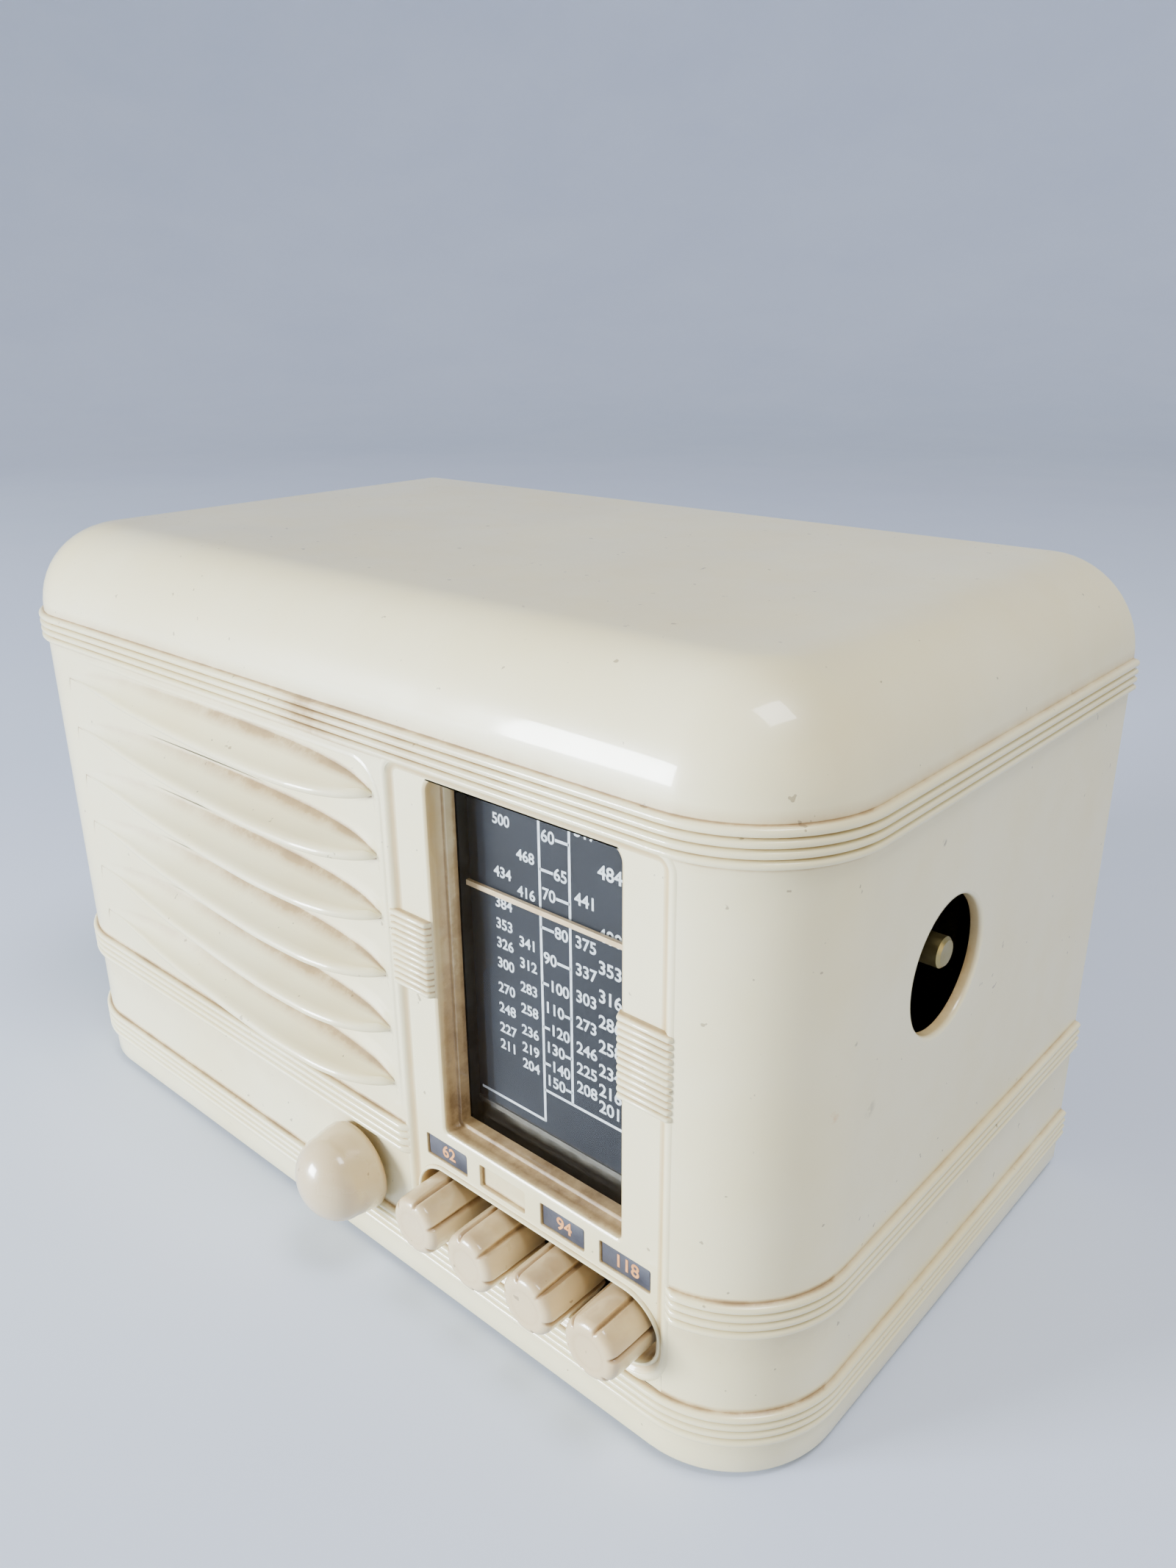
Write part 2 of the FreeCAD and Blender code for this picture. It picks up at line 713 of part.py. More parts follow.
def condenser_stator():
    plates = []
    for section, first in enumerate(SECTIONS):
        for i in range(PLATES - 1):
            x = first + dim.plate_pitch * (i + 0.5)
            plates.append(box(f"stator_plate_{section}_{i}", (x, 35, dim.drive_level - 21),
                              (x + dim.plate_sheet, 78, dim.drive_level - 1)))
    clear = rod("stator_clearance", 6.5, (160, dim.drive_y, dim.drive_level), 70, "x")
    left, right = FRAME_LEFT + END_SHEET, FRAME_RIGHT
    bars = [rod(f"stator_bar_{i}", 1.2, (left, y, 86), right - left, "x") for i, y in enumerate((36.5, 76.5))]
    node(cut("condenser_stator", fuse("stator_stack", plates + bars), [clear]), "condenser_stator")


def condenser_frame():
    """Two end plates with bearings, a floor and a screen between the sections, on bent feet."""
    low, high = dim.chassis_top, 108.0
    ends = []
    for i, x in enumerate((FRAME_LEFT, FRAME_RIGHT)):
        ends.append(box(f"condenser_end_{i}", (x, 34, low), (x + END_SHEET, 79, high)))
    inner = FRAME_LEFT + END_SHEET
    parts = ends + [
        box("condenser_floor", (inner, 34, 70), (FRAME_RIGHT, 79, 71.5)),
        box("condenser_screen", (193.6, 34, 71.5), (194.6, 79, 88)),
        box("condenser_foot_left", (inner, 36, low), (inner + 9, 77, low + 1.5)),
        box("condenser_foot_right", (FRAME_RIGHT - 9, 36, low), (FRAME_RIGHT, 77, low + 1.5)),
    ]
    bearing = rod("condenser_bearing", dim.shaft_radius + dim.running_fit,
                  (150, dim.drive_y, dim.drive_level), 90, "x")
    bars = [rod(f"screen_gap_{i}", 2.4, (190, y, 86), 8, "x") for i, y in enumerate((36.5, 76.5))]
    node(cut("condenser_frame", fuse("condenser_blank", parts), [bearing] + bars), "condenser_frame")


# ---- push-button tuner -------------------------------------------------------------------------

TUNER_LEFT, TUNER_RIGHT = 157.0, 230.0
TUNER_FRONT, TUNER_REAR, TUNER_BACK = 20.0, 38.0, 76.0
TUNER_LOW = 9.0
TREADLE_Y, TREADLE_LEVEL = 64.0, 24.0
TREADLE_ARM = 10.0
GROOVES = 8


def button_x(index):
    return dim.button_first + dim.button_pitch * index


def push_buttons():
    for i in range(4):
        radius, front = dim.button_radius, dim.button_length
        cap = turned(f"button_blank_{i}", [
            (0, 0), (radius + 0.1, 0), (radius - 0.1, front - 1.5), (radius - 0.55, front - 0.45),
            (radius - 1.6, front), (0, front),
        ])
        place(cap, button_x(i), dim.button_length - dim.button_proud, dim.button_level, ALONG["-y"])
        tools = [rod(f"button_bore_{i}", dim.plunger_radius,
                     (button_x(i), dim.button_length - dim.button_proud - 8, dim.button_level), 9, "y")]
        for k in range(GROOVES):
            turn = 2 * math.pi * (k + 0.5) / GROOVES
            tools.append(rod(f"button_groove_{i}_{k}", 0.45,
                             (button_x(i) + (radius + 0.15) * math.cos(turn), -dim.button_proud + 1.8,
                              dim.button_level + (radius + 0.15) * math.sin(turn)), dim.button_length, "y"))
        node(cut(f"push_button_{i + 1}", cap, tools), f"push_button_{i + 1}")


def plungers():
    start = dim.button_length - dim.button_proud - 8
    for i in range(4):
        stem = turned(f"plunger_{i + 1}", [
            (0, 0), (dim.plunger_radius, 0), (dim.plunger_radius, 22.4), (4.2, 22.4), (4.2, 24.0),
            (dim.plunger_radius, 24.0), (dim.plunger_radius, 43.0), (1.2, 44.0), (0, 44.0),
        ])
        place(stem, button_x(i), start, dim.button_level, ALONG["y"])
        node(stem, f"plunger_{i + 1}")


def return_springs():
    turns, wire, radius = 6, 0.45, 3.6
    start = dim.button_length - dim.button_proud
    gap = TUNER_FRONT - start.value
    pitch = (gap - 2 * wire - 0.1) / turns
    for i in range(4):
        coil = Part.makeHelix(pitch, pitch * turns, radius)
        ring = Part.Circle(Vector(radius, 0, 0), Vector(0, 1, 0), wire)
        thing = doc.addObject("Part::Feature", f"return_spring_{i + 1}")
        thing.Shape = Part.Wire(coil.Edges).makePipeShell([Part.Wire(ring.toShape())], True, True)
        place(thing, button_x(i), start + wire + 0.05, dim.button_level, ALONG["y"])
        node(thing, f"return_spring_{i + 1}")


def tuner_frame():
    """A steel box with a front plate, a rear guide and two side cheeks, hung under the chassis."""
    top = dim.chassis_top - dim.chassis_sheet
    thickness = 1.2
    holes = [rod(f"tuner_hole_{i}", dim.plunger_radius + dim.running_fit,
                 (button_x(i), TUNER_FRONT - 5, dim.button_level), 30, "y") for i in range(4)]
    holes.append(rod("treadle_bearing", 2.0 + dim.running_fit,
                     (TUNER_LEFT - 5, TREADLE_Y, TREADLE_LEVEL), 90, "x"))
    parts = [
        box("tuner_front", (TUNER_LEFT, TUNER_FRONT, TUNER_LOW), (TUNER_RIGHT, TUNER_FRONT + thickness, top)),
        box("tuner_guide", (TUNER_LEFT, TUNER_REAR, TUNER_LOW), (TUNER_RIGHT, TUNER_REAR + thickness, top)),
        box("tuner_left", (TUNER_LEFT, TUNER_FRONT, TUNER_LOW), (TUNER_LEFT + thickness, TUNER_BACK, top)),
        box("tuner_right", (TUNER_RIGHT - thickness, TUNER_FRONT, TUNER_LOW), (TUNER_RIGHT, TUNER_BACK, top)),
    ]
    node(cut("tuner_frame", fuse("tuner_blank", parts), holes), "tuner_frame")


def treadle():
    """The rocking frame that a pushed plunger would turn, which turns the condenser."""
    left, right = TUNER_LEFT + 2.0, TUNER_RIGHT - 2.0
    parts = [rod("treadle_rod", 2.0, (TUNER_LEFT - 1, TREADLE_Y, TREADLE_LEVEL),
                 TUNER_RIGHT - TUNER_LEFT + 2, "x")]
    for i, x in enumerate((left, right - 1.5)):
        parts.append(box(f"treadle_arm_{i}", (x, TREADLE_Y - 2.5, TREADLE_LEVEL - TREADLE_ARM - 1.5),
                         (x + 1.5, TREADLE_Y + 2.5, TREADLE_LEVEL + TREADLE_ARM + 1.5)))
    for i, side in enumerate((-TREADLE_ARM, TREADLE_ARM)):
        parts.append(rod(f"treadle_bar_{i}", 1.4, (left, TREADLE_Y, TREADLE_LEVEL + side), right - left, "x"))
    node(fuse("treadle", parts), "treadle")


# ---- volume control ----------------------------------------------------------------------------

APRON_Y = 14.0
KNOB_GAP = 1.9


def volume_control():
    radius, proud = dim.knob_radius, dim.knob_proud
    knob = turned("knob_blank", [
        (0, KNOB_GAP), (radius - 0.6, KNOB_GAP), (radius, KNOB_GAP + 0.5), (radius - 0.35, 4.0),
        (radius - 1.1, 7.5),
        (radius - 1.9, 10.0), (radius - 3.2, 12.4), (radius - 5.3, 14.6), (radius - 7.9, 16.0),
        (0, proud),
    ])
    place(knob, dim.knob_x, Size.of(0), dim.knob_level, ALONG["-y"])
    bore = rod("knob_bore", dim.shaft_radius, (dim.knob_x, -11, dim.knob_level), 15, "y")
    node(cut("volume_knob", knob, [bore]), "volume_knob")
    node(rod("volume_shaft", dim.shaft_radius, (dim.knob_x, -11, dim.knob_level), 33, "y"), "volume_shaft")
    can_start = APRON_Y + dim.chassis_sheet
    bushing = 4.75
    pot = turned("volume_pot", [
        (dim.shaft_radius + dim.running_fit, 0), (bushing, 0), (bushing, can_start - 7), (12, can_start - 7),
        (12, can_start + 5), (0, can_start + 5), (0, 15.5), (dim.shaft_radius + dim.running_fit, 15.5),
    ])
    place(pot, dim.knob_x, Size.of(7), dim.knob_level, ALONG["y"])
    node(pot, "volume_pot")
    nut = doc.addObject("Part::Prism", "nut_blank")
    nut.Polygon = 6
    nut.Circumradius = 7.6
    nut.Height = 2.2
    place(nut, dim.knob_x, Size.of(APRON_Y - 2.2), dim.knob_level, ALONG["y"])
    hole = rod("nut_hole", bushing, (dim.knob_x, 5, dim.knob_level), 12, "y")
    node(cut("volume_nut", nut, [hole]), "volume_nut")


# ---- speaker -----------------------------------------------------------------------------------

BAFFLE_Y = 4.4
SCREW_HOLE = 1.4


def rim_screws():
    """Where the speaker's four screws sit, from its middle."""
    return [(43.2 * math.cos(math.radians(90 * i)), 43.2 * math.sin(math.radians(90 * i))) for i in range(4)]


def speaker():
    x, level, radius = dim.speaker_x, dim.speaker_level, dim.speaker_radius
    baffle = padded("speaker_baffle", "XZ_Plane", Size.of(2.6),
                    [rectangle(Size.of(-60), Size.of(-45), Size.of(60), Size.of(45))],
                    [(0, 0, dim.cone_radius)] + [(a, b, SCREW_HOLE) for a, b in rim_screws()])
    place(baffle, x, Size.of(BAFFLE_Y + 2.6), level)
    node(baffle, "speaker_baffle")
    seat = BAFFLE_Y + 2.6
    basket = turned("basket_blank", [
        (dim.cone_radius + 1, 0), (radius, 0), (radius, 1.2), (dim.cone_radius + 1.7, 1.2), (22, 18),
        (22, 24), (8, 24), (8, 23), (21, 23), (21, 18), (dim.cone_radius + 1, 1.1),
    ])
    place(basket, x, Size.of(seat), level, ALONG["y"])
    gaps = [rod(f"rim_hole_{i}", SCREW_HOLE, (x + a, seat - 1, level + b), 4, "y")
            for i, (a, b) in enumerate(rim_screws())]
    for i in range(4):
        turn = math.radians(45 + 90 * i)
        middle = (x + 31 * math.cos(turn), seat + 1.6, level + 31 * math.sin(turn))
        gaps.append(rod(f"basket_gap_{i}", 8.5, middle, 24, "y"))
    node(cut("speaker_basket", basket, gaps), "speaker_basket")
    cone = turned("speaker_cone", [
        (dim.cone_radius - 0.5, 0.1), (dim.cone_radius - 2, 1.4), (9.5, 16.4), (7, 14.5), (3.5, 13.2),
        (0, 12.8), (0, 13.6), (3.2, 14), (6.4, 15.2), (9.5, 17.6), (dim.cone_radius - 1.4, 2.6),
        (dim.cone_radius - 0.5, 1.2),
    ])
    place(cone, x, Size.of(seat), level, ALONG["y"])
    node(cone, "speaker_cone")
    magnet = turned("speaker_magnet", [(0, 24), (17, 24), (17.5, 24.5), (17.5, 41), (16, 42.5), (0, 42.5)])
    place(magnet, x, Size.of(seat), level, ALONG["y"])
    node(magnet, "speaker_magnet")
    core_low, core_y = level + 19, seat + 26
    bracket = fuse("output_transformer", [
        box("transformer_core", (x - 13, core_y, core_low), (x + 13, core_y + 15, core_low + 22)),
        box("transformer_coil", (x - 8, core_y - 4, core_low + 3.5), (x + 8, core_y + 19, core_low + 18.5)),
        box("transformer_strap", (x - 4, core_y - 1.2, core_low - 1.5), (x + 4, core_y, core_low + 12)),
    ])
    node(bracket, "output_transformer")


# ---- chassis and what stands on it -------------------------------------------------------------

TUBES = {
    # name: (x, y, bulb radius, bulb height)
    "rectifier": (30.0, 106.0, 14.5, 66.0),
    "output": (70.0, 106.0, 16.0, 74.0),
    "amplifier": (110.0, 108.0, 14.0, 62.0),
    "detector": (150.0, 108.0, 14.0, 62.0),
    "converter": (190.0, 108.0, 14.0, 62.0),
}
SOCKET_HEIGHT = 5.0
BASE_HEIGHT = 16.0
BASE_RADIUS = 14.0


def chassis():
    low, top, sheet_size = dim.chassis_bottom, dim.chassis_top, dim.chassis_sheet
    left, right, front, back = 12.0, 237.0, APRON_Y, 127.0
    parts = [
        box("chassis_deck", (left, front, top - sheet_size), (right, back, top)),
        box("chassis_front", (left, front, low), (152, front + sheet_size, top)),
        box("chassis_back", (left, back - sheet_size, low), (right, back, top)),
        box("chassis_left", (left, front, low), (left + sheet_size, back, top)),
        box("chassis_right", (right - sheet_size, 80, low), (right, back, top)),
        box("chassis_flange_front", (left, front, low), (152, front + 30, low + sheet_size)),
        box("chassis_flange_back", (left, back - 34, low), (right, back, low + sheet_size)),
    ]
    tools = [rod("apron_hole", 4.75, (dim.knob_x, APRON_Y - 5, dim.knob_level), 10, "y")]
    tools.append(box("pot_notch", (dim.knob_x - 13, APRON_Y + sheet_size, low - 1),
                     (dim.knob_x + 3, 30, low + 5)))
    for name, (x, y, _, _) in TUBES.items():
        tools.append(rod(f"{name}_hole", 11.0, (x, y, top - 5), 10, "z"))
    for i, (x, y) in enumerate(FLOOR_SCREWS):
        tools.append(rod(f"chassis_screw_hole_{i}", 2.0, (x, y, low - 2), 8, "z"))
    tools.append(box("link_slot", (200, 44, top - 5), (206, 72, top + 5)))
    node(cut("chassis_pan", fuse("chassis_blank", parts), tools), "chassis_pan")


def tubes():
    top = dim.chassis_top
    sockets = []
    for name, (x, y, bulb, height) in TUBES.items():
        socket = turned(f"socket_{name}", [
            (0, -4), (10.8, -4), (10.8, 0), (15, 0), (15, 1.2), (13, SOCKET_HEIGHT), (0, SOCKET_HEIGHT),
        ])
        sockets.append(place(socket, x, Size.of(y), top, ALONG["z"]))
        base = turned(f"base_{name}", [
            (0, 0), (BASE_RADIUS - 0.6, 0), (BASE_RADIUS, 0.8), (BASE_RADIUS, BASE_HEIGHT),
            (BASE_RADIUS - 2, BASE_HEIGHT), (BASE_RADIUS - 2, 2), (0, 2),
        ])
        place(base, x, Size.of(y), top + SOCKET_HEIGHT)
        node(base, f"{name}_tube_base")
        neck = BASE_RADIUS - 2.1
        dome = bulb * 0.62
        bulb_body = turned(f"bulb_{name}", [
            (0, 2.1), (neck, 2.1), (neck, BASE_HEIGHT + 1), (bulb, BASE_HEIGHT + 8), (bulb, height - dome),
            (bulb * 0.93, height - dome * 0.55), (bulb * 0.72, height - dome * 0.2),
            (bulb * 0.4, height - 0.6), (0, height),
        ])
        place(bulb_body, x, Size.of(y), top + SOCKET_HEIGHT)
        node(bulb_body, f"{name}_tube_bulb")
    node(group("tube_sockets", sockets), "tube_sockets")


def cans():
    top = dim.chassis_top
    for i, (x, y) in enumerate(((128.0, 72.0), (90.0, 78.0)), start=1):
        half, height = 14.0, 62.0
        can = padded(f"if_can_{i}", "XY_Plane", height, [rectangle(-half, -half, half, half)])
        rounded(can, f"if_can_{i}_round", Size.of(2.5), lambda edge: edge.BoundBox.ZLength > height - 1)
        rounded(can, f"if_can_{i}_top", Size.of(1.5), lambda edge: all_at(edge, "z", height))
        place(can, x, Size.of(y), top)
        node(can, f"if_can_{i}")
    filter_can = turned("filter_capacitor", [
        (0, 0), (16, 0), (16, 1.5), (12.5, 2.5), (12.5, 68), (11.5, 70), (0, 70),
    ])
    place(filter_can, Size.of(34), Size.of(68), top)
    node(filter_can, "filter_capacitor")


def dial_lamp():
    lamp = turned("dial_lamp", [
        (0, 0), (4.4, 0), (4.4, 2), (3.8, 3), (5, 7), (5, 9.5), (3.6, 12.4), (1.8, 13.6), (0, 14),
    ])
    place(lamp, Size.of(LAMP_X), Size.of(LAMP_Y), Size.of(LAMP_LEVEL))
    node(lamp, "dial_lamp")


# ---- fasteners, back cover and aerial ----------------------------------------------------------


def chassis_screws():
    screws = []
    length = dim.chassis_bottom + dim.chassis_sheet + 3
    for i, (x, y) in enumerate(FLOOR_SCREWS):
        screw = turned(f"chassis_screw_{i}", [
            (0, -1.2), (2.6, -1.2), (4.2, 0), (2.0, 0), (2.0, length), (0, length),
        ])
        screws.append(place(screw, x, Size.of(y), Size.of(0)))
    node(group("chassis_screws", screws), "chassis_screws")
    washers = []
    for i, (x, y) in enumerate(FLOOR_SCREWS):
        washer = turned(f"chassis_cushion_{i}", rectangle(2.0, 0, 6.5, dim.chassis_bottom - dim.wall))
        washers.append(place(washer, x, Size.of(y), dim.wall))
    node(group("chassis_cushions", washers), "chassis_cushions")


def small_screw(name, length):
    """A self-tapping screw with a round head, its seat at its origin."""
    return turned(name, [
        (0, -length), (1.3, -length), (1.3, 0), (2.3, 0), (2.1, 1.1), (1.2, 1.7), (0, 1.7),
    ])


def small_screws():
    """Four in the back cover's bosses and four round the speaker's rim."""
    screws = []
    for i, (x, level) in enumerate(boss_places()):
        screw = small_screw(f"cover_screw_{i}", 12)
        seat = dim.case_depth - COVER_INSET + dim.cover_sheet
        screws.append(place(screw, x, seat, Size.of(level), ALONG["y"]))
    for i, (a, b) in enumerate(rim_screws()):
        screw = small_screw(f"speaker_screw_{i}", 3.4)
        seat = Size.of(BAFFLE_Y + 3.8)
        screws.append(place(screw, dim.speaker_x + a, seat, dim.speaker_level + b, ALONG["y"]))
    node(group("small_screws", screws), "small_screws")


def back_cover():
    start = dim.case_depth - COVER_INSET
    gap = dim.wall + 0.6
    top = dim.case_height - gap
    board = padded("cover_board", "XY_Plane", dim.cover_sheet,
                   [rectangle(gap, gap + 1.0, dim.case_width - gap, top)])

    def upper_corner(edge):
        return edge.BoundBox.ZLength > 1 and all_at(edge, "y", top.value)

    rounded(board, "cover_corners", dim.lid_radius - gap, upper_corner)
    place(board, Size.of(0), start + dim.cover_sheet, Size.of(0), ALONG["-y"])
    tools = [rod("cord_inlet", 5.0, (60, start - 2, 22), 10, "y")]
    for i, (x, level) in enumerate(boss_places()):
        tools.append(rod(f"cover_hole_{i}", 1.5, (x, start - 2, level), 10, "y"))
    for row in range(5):
        for column in range(9):
            middle = (45 + 20.0 * column, start - 2, 58 + 15.0 * row)
            tools.append(rod(f"vent_{row}_{column}", 3.2, middle, 10, "y"))
    for column in range(7):
        left = 88 + 18.0 * column
        tools.append(box(f"low_vent_{column}", (left, start - 2, 18), (left + 12, start + 8, 22)))
    node(cut("back_cover", board, tools), "back_cover")
    grommet = turned("cord_grommet", [
        (3.0, -2.2), (7.0, -2.2), (7.0, -0.1), (5.0, -0.1), (5.0, 2.1), (7.0, 2.1), (7.0, 4.0), (3.0, 4.0),
    ])
    place(grommet, Size.of(60), start, Size.of(22), ALONG["y"])
    node(grommet, "cord_grommet")


def loop_aerial():
    """A flat frame winding on a card behind the back cover's upper half."""
    y = dim.case_depth - 7.2
    card = box("aerial_card", (30, y, 48), (220, y + 1.2, 134))
    hole = box("aerial_card_hole", (50, y - 3, 64), (200, y + 4, 118))
    winding = box("aerial_winding", (34, y - 1.6, 52), (216, y, 130))
    core = box("aerial_winding_hole", (46, y - 4, 64), (204, y + 4, 118))
    pieces = [cut("aerial_sheet", card, [hole]), cut("aerial_turns", winding, [core])]
    node(fuse("loop_aerial", pieces), "loop_aerial")


# ---- build, check and write --------------------------------------------------------------------


def check_document():
    """Stops if any object failed, or any sub-part is empty or not valid."""
    doc.recompute()
    failed = [o.Label for o in doc.Objects if {"Invalid", "Error"} & set(o.State)]
    failed += [o.Label for o in nodes if o.Shape.isNull() or not o.Shape.isValid()]
    if failed:
        raise RuntimeError(f"these objects failed: {failed}")


cabinet()
feet()
label_tabs()
dial()
pointer()
pulleys()
dial_cord()
tuning_shaft()
dial_drum()
condenser_rotor()
condenser_stator()
condenser_frame()
push_buttons()
plungers()
return_springs()
tuner_frame()
treadle()
volume_control()
speaker()
chassis()
tubes()
cans()
dial_lamp()
chassis_screws()
small_screws()
back_cover()
loop_aerial()
check_document()

os.makedirs("parts", exist_ok=True)
for thing in nodes:
    thing.Shape.exportStep(os.path.join("parts", f"{thing.Label}.step"))
print(f"{len(nodes)} sub-parts written")
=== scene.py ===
import math

import bpy
import numpy as np
from mathutils import Matrix, Vector
from mathutils.geometry import tessellate_polygon


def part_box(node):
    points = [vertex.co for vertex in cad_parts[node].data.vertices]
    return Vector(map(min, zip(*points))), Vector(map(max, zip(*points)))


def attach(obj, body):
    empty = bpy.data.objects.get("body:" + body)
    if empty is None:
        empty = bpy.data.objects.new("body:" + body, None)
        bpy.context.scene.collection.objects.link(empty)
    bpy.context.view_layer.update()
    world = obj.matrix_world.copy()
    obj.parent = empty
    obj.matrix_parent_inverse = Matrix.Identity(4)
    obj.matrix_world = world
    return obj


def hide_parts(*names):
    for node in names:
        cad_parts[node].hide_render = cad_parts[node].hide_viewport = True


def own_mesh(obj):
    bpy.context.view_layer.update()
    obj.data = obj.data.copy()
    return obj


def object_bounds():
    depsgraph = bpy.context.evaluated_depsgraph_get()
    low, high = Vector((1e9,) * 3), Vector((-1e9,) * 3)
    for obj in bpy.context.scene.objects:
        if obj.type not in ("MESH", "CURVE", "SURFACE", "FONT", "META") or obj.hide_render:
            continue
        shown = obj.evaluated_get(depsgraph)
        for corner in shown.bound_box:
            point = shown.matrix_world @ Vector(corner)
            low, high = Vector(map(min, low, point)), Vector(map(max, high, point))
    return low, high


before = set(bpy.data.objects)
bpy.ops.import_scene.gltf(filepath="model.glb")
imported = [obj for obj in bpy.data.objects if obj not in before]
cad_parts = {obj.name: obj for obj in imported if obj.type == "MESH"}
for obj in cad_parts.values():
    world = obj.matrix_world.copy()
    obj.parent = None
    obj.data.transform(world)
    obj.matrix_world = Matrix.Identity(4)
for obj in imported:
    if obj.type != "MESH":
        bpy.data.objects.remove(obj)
CAD_LOW, CAD_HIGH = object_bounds()

# Places and sizes below are in millimetres, unless a comment says otherwise. A place is measured from the
# cabinet's left side, its front face and the foot of its plinth: x to the right, y to the back, z up.
WIDTH, DEPTH, HEIGHT = 250.0, 136.6, 156.5
CORNER, LID = 25.5, 21.0  # the radius of the front corners in plan, and of the lid's edge
WALL, RIB = 2.6, 1.4  # the wall's thickness, and how far a rib stands out
PLINTH_BAND, MIDDLE_BAND, UPPER_BAND = (8.0, 15.8), (34.4, 42.2), (127.9, 135.3)  # from and to
STRIP_LEFT, STRIP_RIGHT, STRIP_LOW, STRIP_HIGH, STRIP_DEPTH = 156.9, 227.3, 16.0, 127.9, 0.9
HOLE_Y, HOLE_Z, HOLE_RADIUS = 56.5, 92.5, 14.0  # the tuning shaft's hole in the right side
HOLE_PATCH = 20.5  # half the side of the square panel round that hole

SHELL_LOW, SHELL_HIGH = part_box("cabinet_shell")
ORIGIN = np.array([(SHELL_LOW.x + SHELL_HIGH.x) / 2 - WIDTH / 2000, SHELL_HIGH.y - DEPTH / 1000, SHELL_LOW.z])


def at(x, y, z):
    """A place as metres in the frame."""
    return ORIGIN + np.array([x, y, z]) / 1000.0


def extent(low, high):
    """For a CAD box: middle x, middle z, front y, back y and half width."""
    low, high = (np.array(low) - ORIGIN) * 1000, (np.array(high) - ORIGIN) * 1000
    return (low[0] + high[0]) / 2, (low[2] + high[2]) / 2, low[1], high[1], (high[0] - low[0]) / 2


def smooth(low, high, value):
    """Rises from 0 at low to 1 at high, level at both ends."""
    t = np.clip((value - low) / (high - low), 0.0, 1.0)
    return t * t * (3 - 2 * t)


def round_angles(count):
    """Angles spread evenly over one turn."""
    return np.linspace(0, 2 * math.pi, count + 1)[:-1]


# ---------------------------------------------------------------- materials


class Nodes:
    """A short way to write a material's nodes."""

    def __init__(self, name):
        self.material = bpy.data.materials.new(name)
        self.material.use_nodes = True
        self.tree = self.material.node_tree
        self.tree.nodes.clear()
        self.out = self.tree.nodes.new("ShaderNodeOutputMaterial")

    def fill(self, made, key, value):
        """Links a socket to an input, or sets the input's value."""
        if isinstance(value, bpy.types.NodeSocket):
            self.tree.links.new(value, made.inputs[key])
        else:
            made.inputs[key].default_value = value

    def node(self, kind, inputs=None, **settings):
        made = self.tree.nodes.new("ShaderNode" + kind)
        for key, value in settings.items():
            setattr(made, key, value)
        for key, value in (inputs or {}).items():
            self.fill(made, key, value)
        return made

    def coordinates(self):
        return self.node("TexCoord").outputs["Object"]

    def noise(self, scale, detail, roughness, place):
        inputs = {"Vector": place, "Scale": scale, "Detail": detail, "Roughness": roughness}
        return self.node("TexNoise", inputs).outputs["Fac"]

    def ramp(self, value, low, high, to_low=0.0, to_high=1.0):
        inputs = {"Value": value, "From Min": low, "From Max": high, "To Min": to_low, "To Max": to_high}
        return self.node("MapRange", inputs, clamp=True).outputs["Result"]

    def math(self, operation, a, b=0.0, clamp=False):
        return self.node("Math", {0: a, 1: b}, operation=operation, use_clamp=clamp).outputs[0]

    def mix(self, share, a, b):
        """From colour a to colour b. A Mix node's colour sockets are inputs 6 and 7, and output 2."""
        made = self.node("Mix", data_type="RGBA")
        for index, value in ((0, share), (6, a), (7, b)):
            self.fill(made, index, value)
        return made.outputs[2]

    def attribute(self, name):
        return self.node("Attribute", attribute_name=name).outputs["Fac"]

    def bump(self, height, strength, distance, **more):
        inputs = {"Height": height, "Strength": strength, "Distance": distance, **more}
        return self.node("Bump", inputs).outputs["Normal"]

    def principled(self, **inputs):
        made = self.node("BsdfPrincipled", {key.replace("_", " "): value for key, value in inputs.items()})
        self.tree.links.new(made.outputs[0], self.out.inputs["Surface"])


def colour(red, green, blue):
    """A colour written as it looks on a screen, 0 to 255."""
    linear = [((c / 255 + 0.055) / 1.055) ** 2.4 if c > 10 else c / 255 / 12.92 for c in (red, green, blue)]
    return (*linear, 1.0)


SCUFFS = (  # place, radius, strength, colour
    ((111, 14, 156.5), 0.9, 0.8, (70, 62, 46)), ((71, 18, 156), 0.5, 0.6, (90, 80, 60)),
    ((250, 49, 120.5), 1.0, 0.85, (84, 68, 44)), ((250, 18.5, 79), 1.7, 0.8, (214, 156, 84)),
    ((250, 30, 75), 2.1, 0.45, (150, 136, 100)), ((250, 23, 92), 0.6, 0.6, (110, 94, 62)),
    ((250, 68, 85), 0.5, 0.7, (96, 78, 50)),
)
# A warm colour painted as shade on the walls of the window, the button slot, the strip's edge and the side
# hole.
AMBER_SHADE = colour(200, 170, 106)
# The two grime tones serve both real grime and painted shade, under the louvre lips and inside the openings.
# The dust tone stands for dust and painted shade on upward faces.
PALE_GRIME_AND_SHADE, DARK_GRIME_AND_SHADE, SPECK, DUST_AND_SHADE_TONE = colour(172, 138, 88), colour(104, 76, 42), colour(96, 72, 44), colour(158, 130, 94)


def scuffed(n, tone, place, scuffs):
    """Lays small marks over a tone, each round its own place and broken up by noise."""
    for spot, radius, strength, tint in scuffs:
        away = n.node("VectorMath", {0: place, 1: tuple(at(*spot))}, operation="DISTANCE").outputs["Value"]
        share = n.math("MULTIPLY", n.ramp(away, radius * 0.0004, radius * 0.001, strength, 0.0),
                       n.ramp(n.noise(700.0, 3.0, 0.6, place), 0.38, 0.56), True)
        tone = n.mix(share, tone, colour(*tint))
    return tone


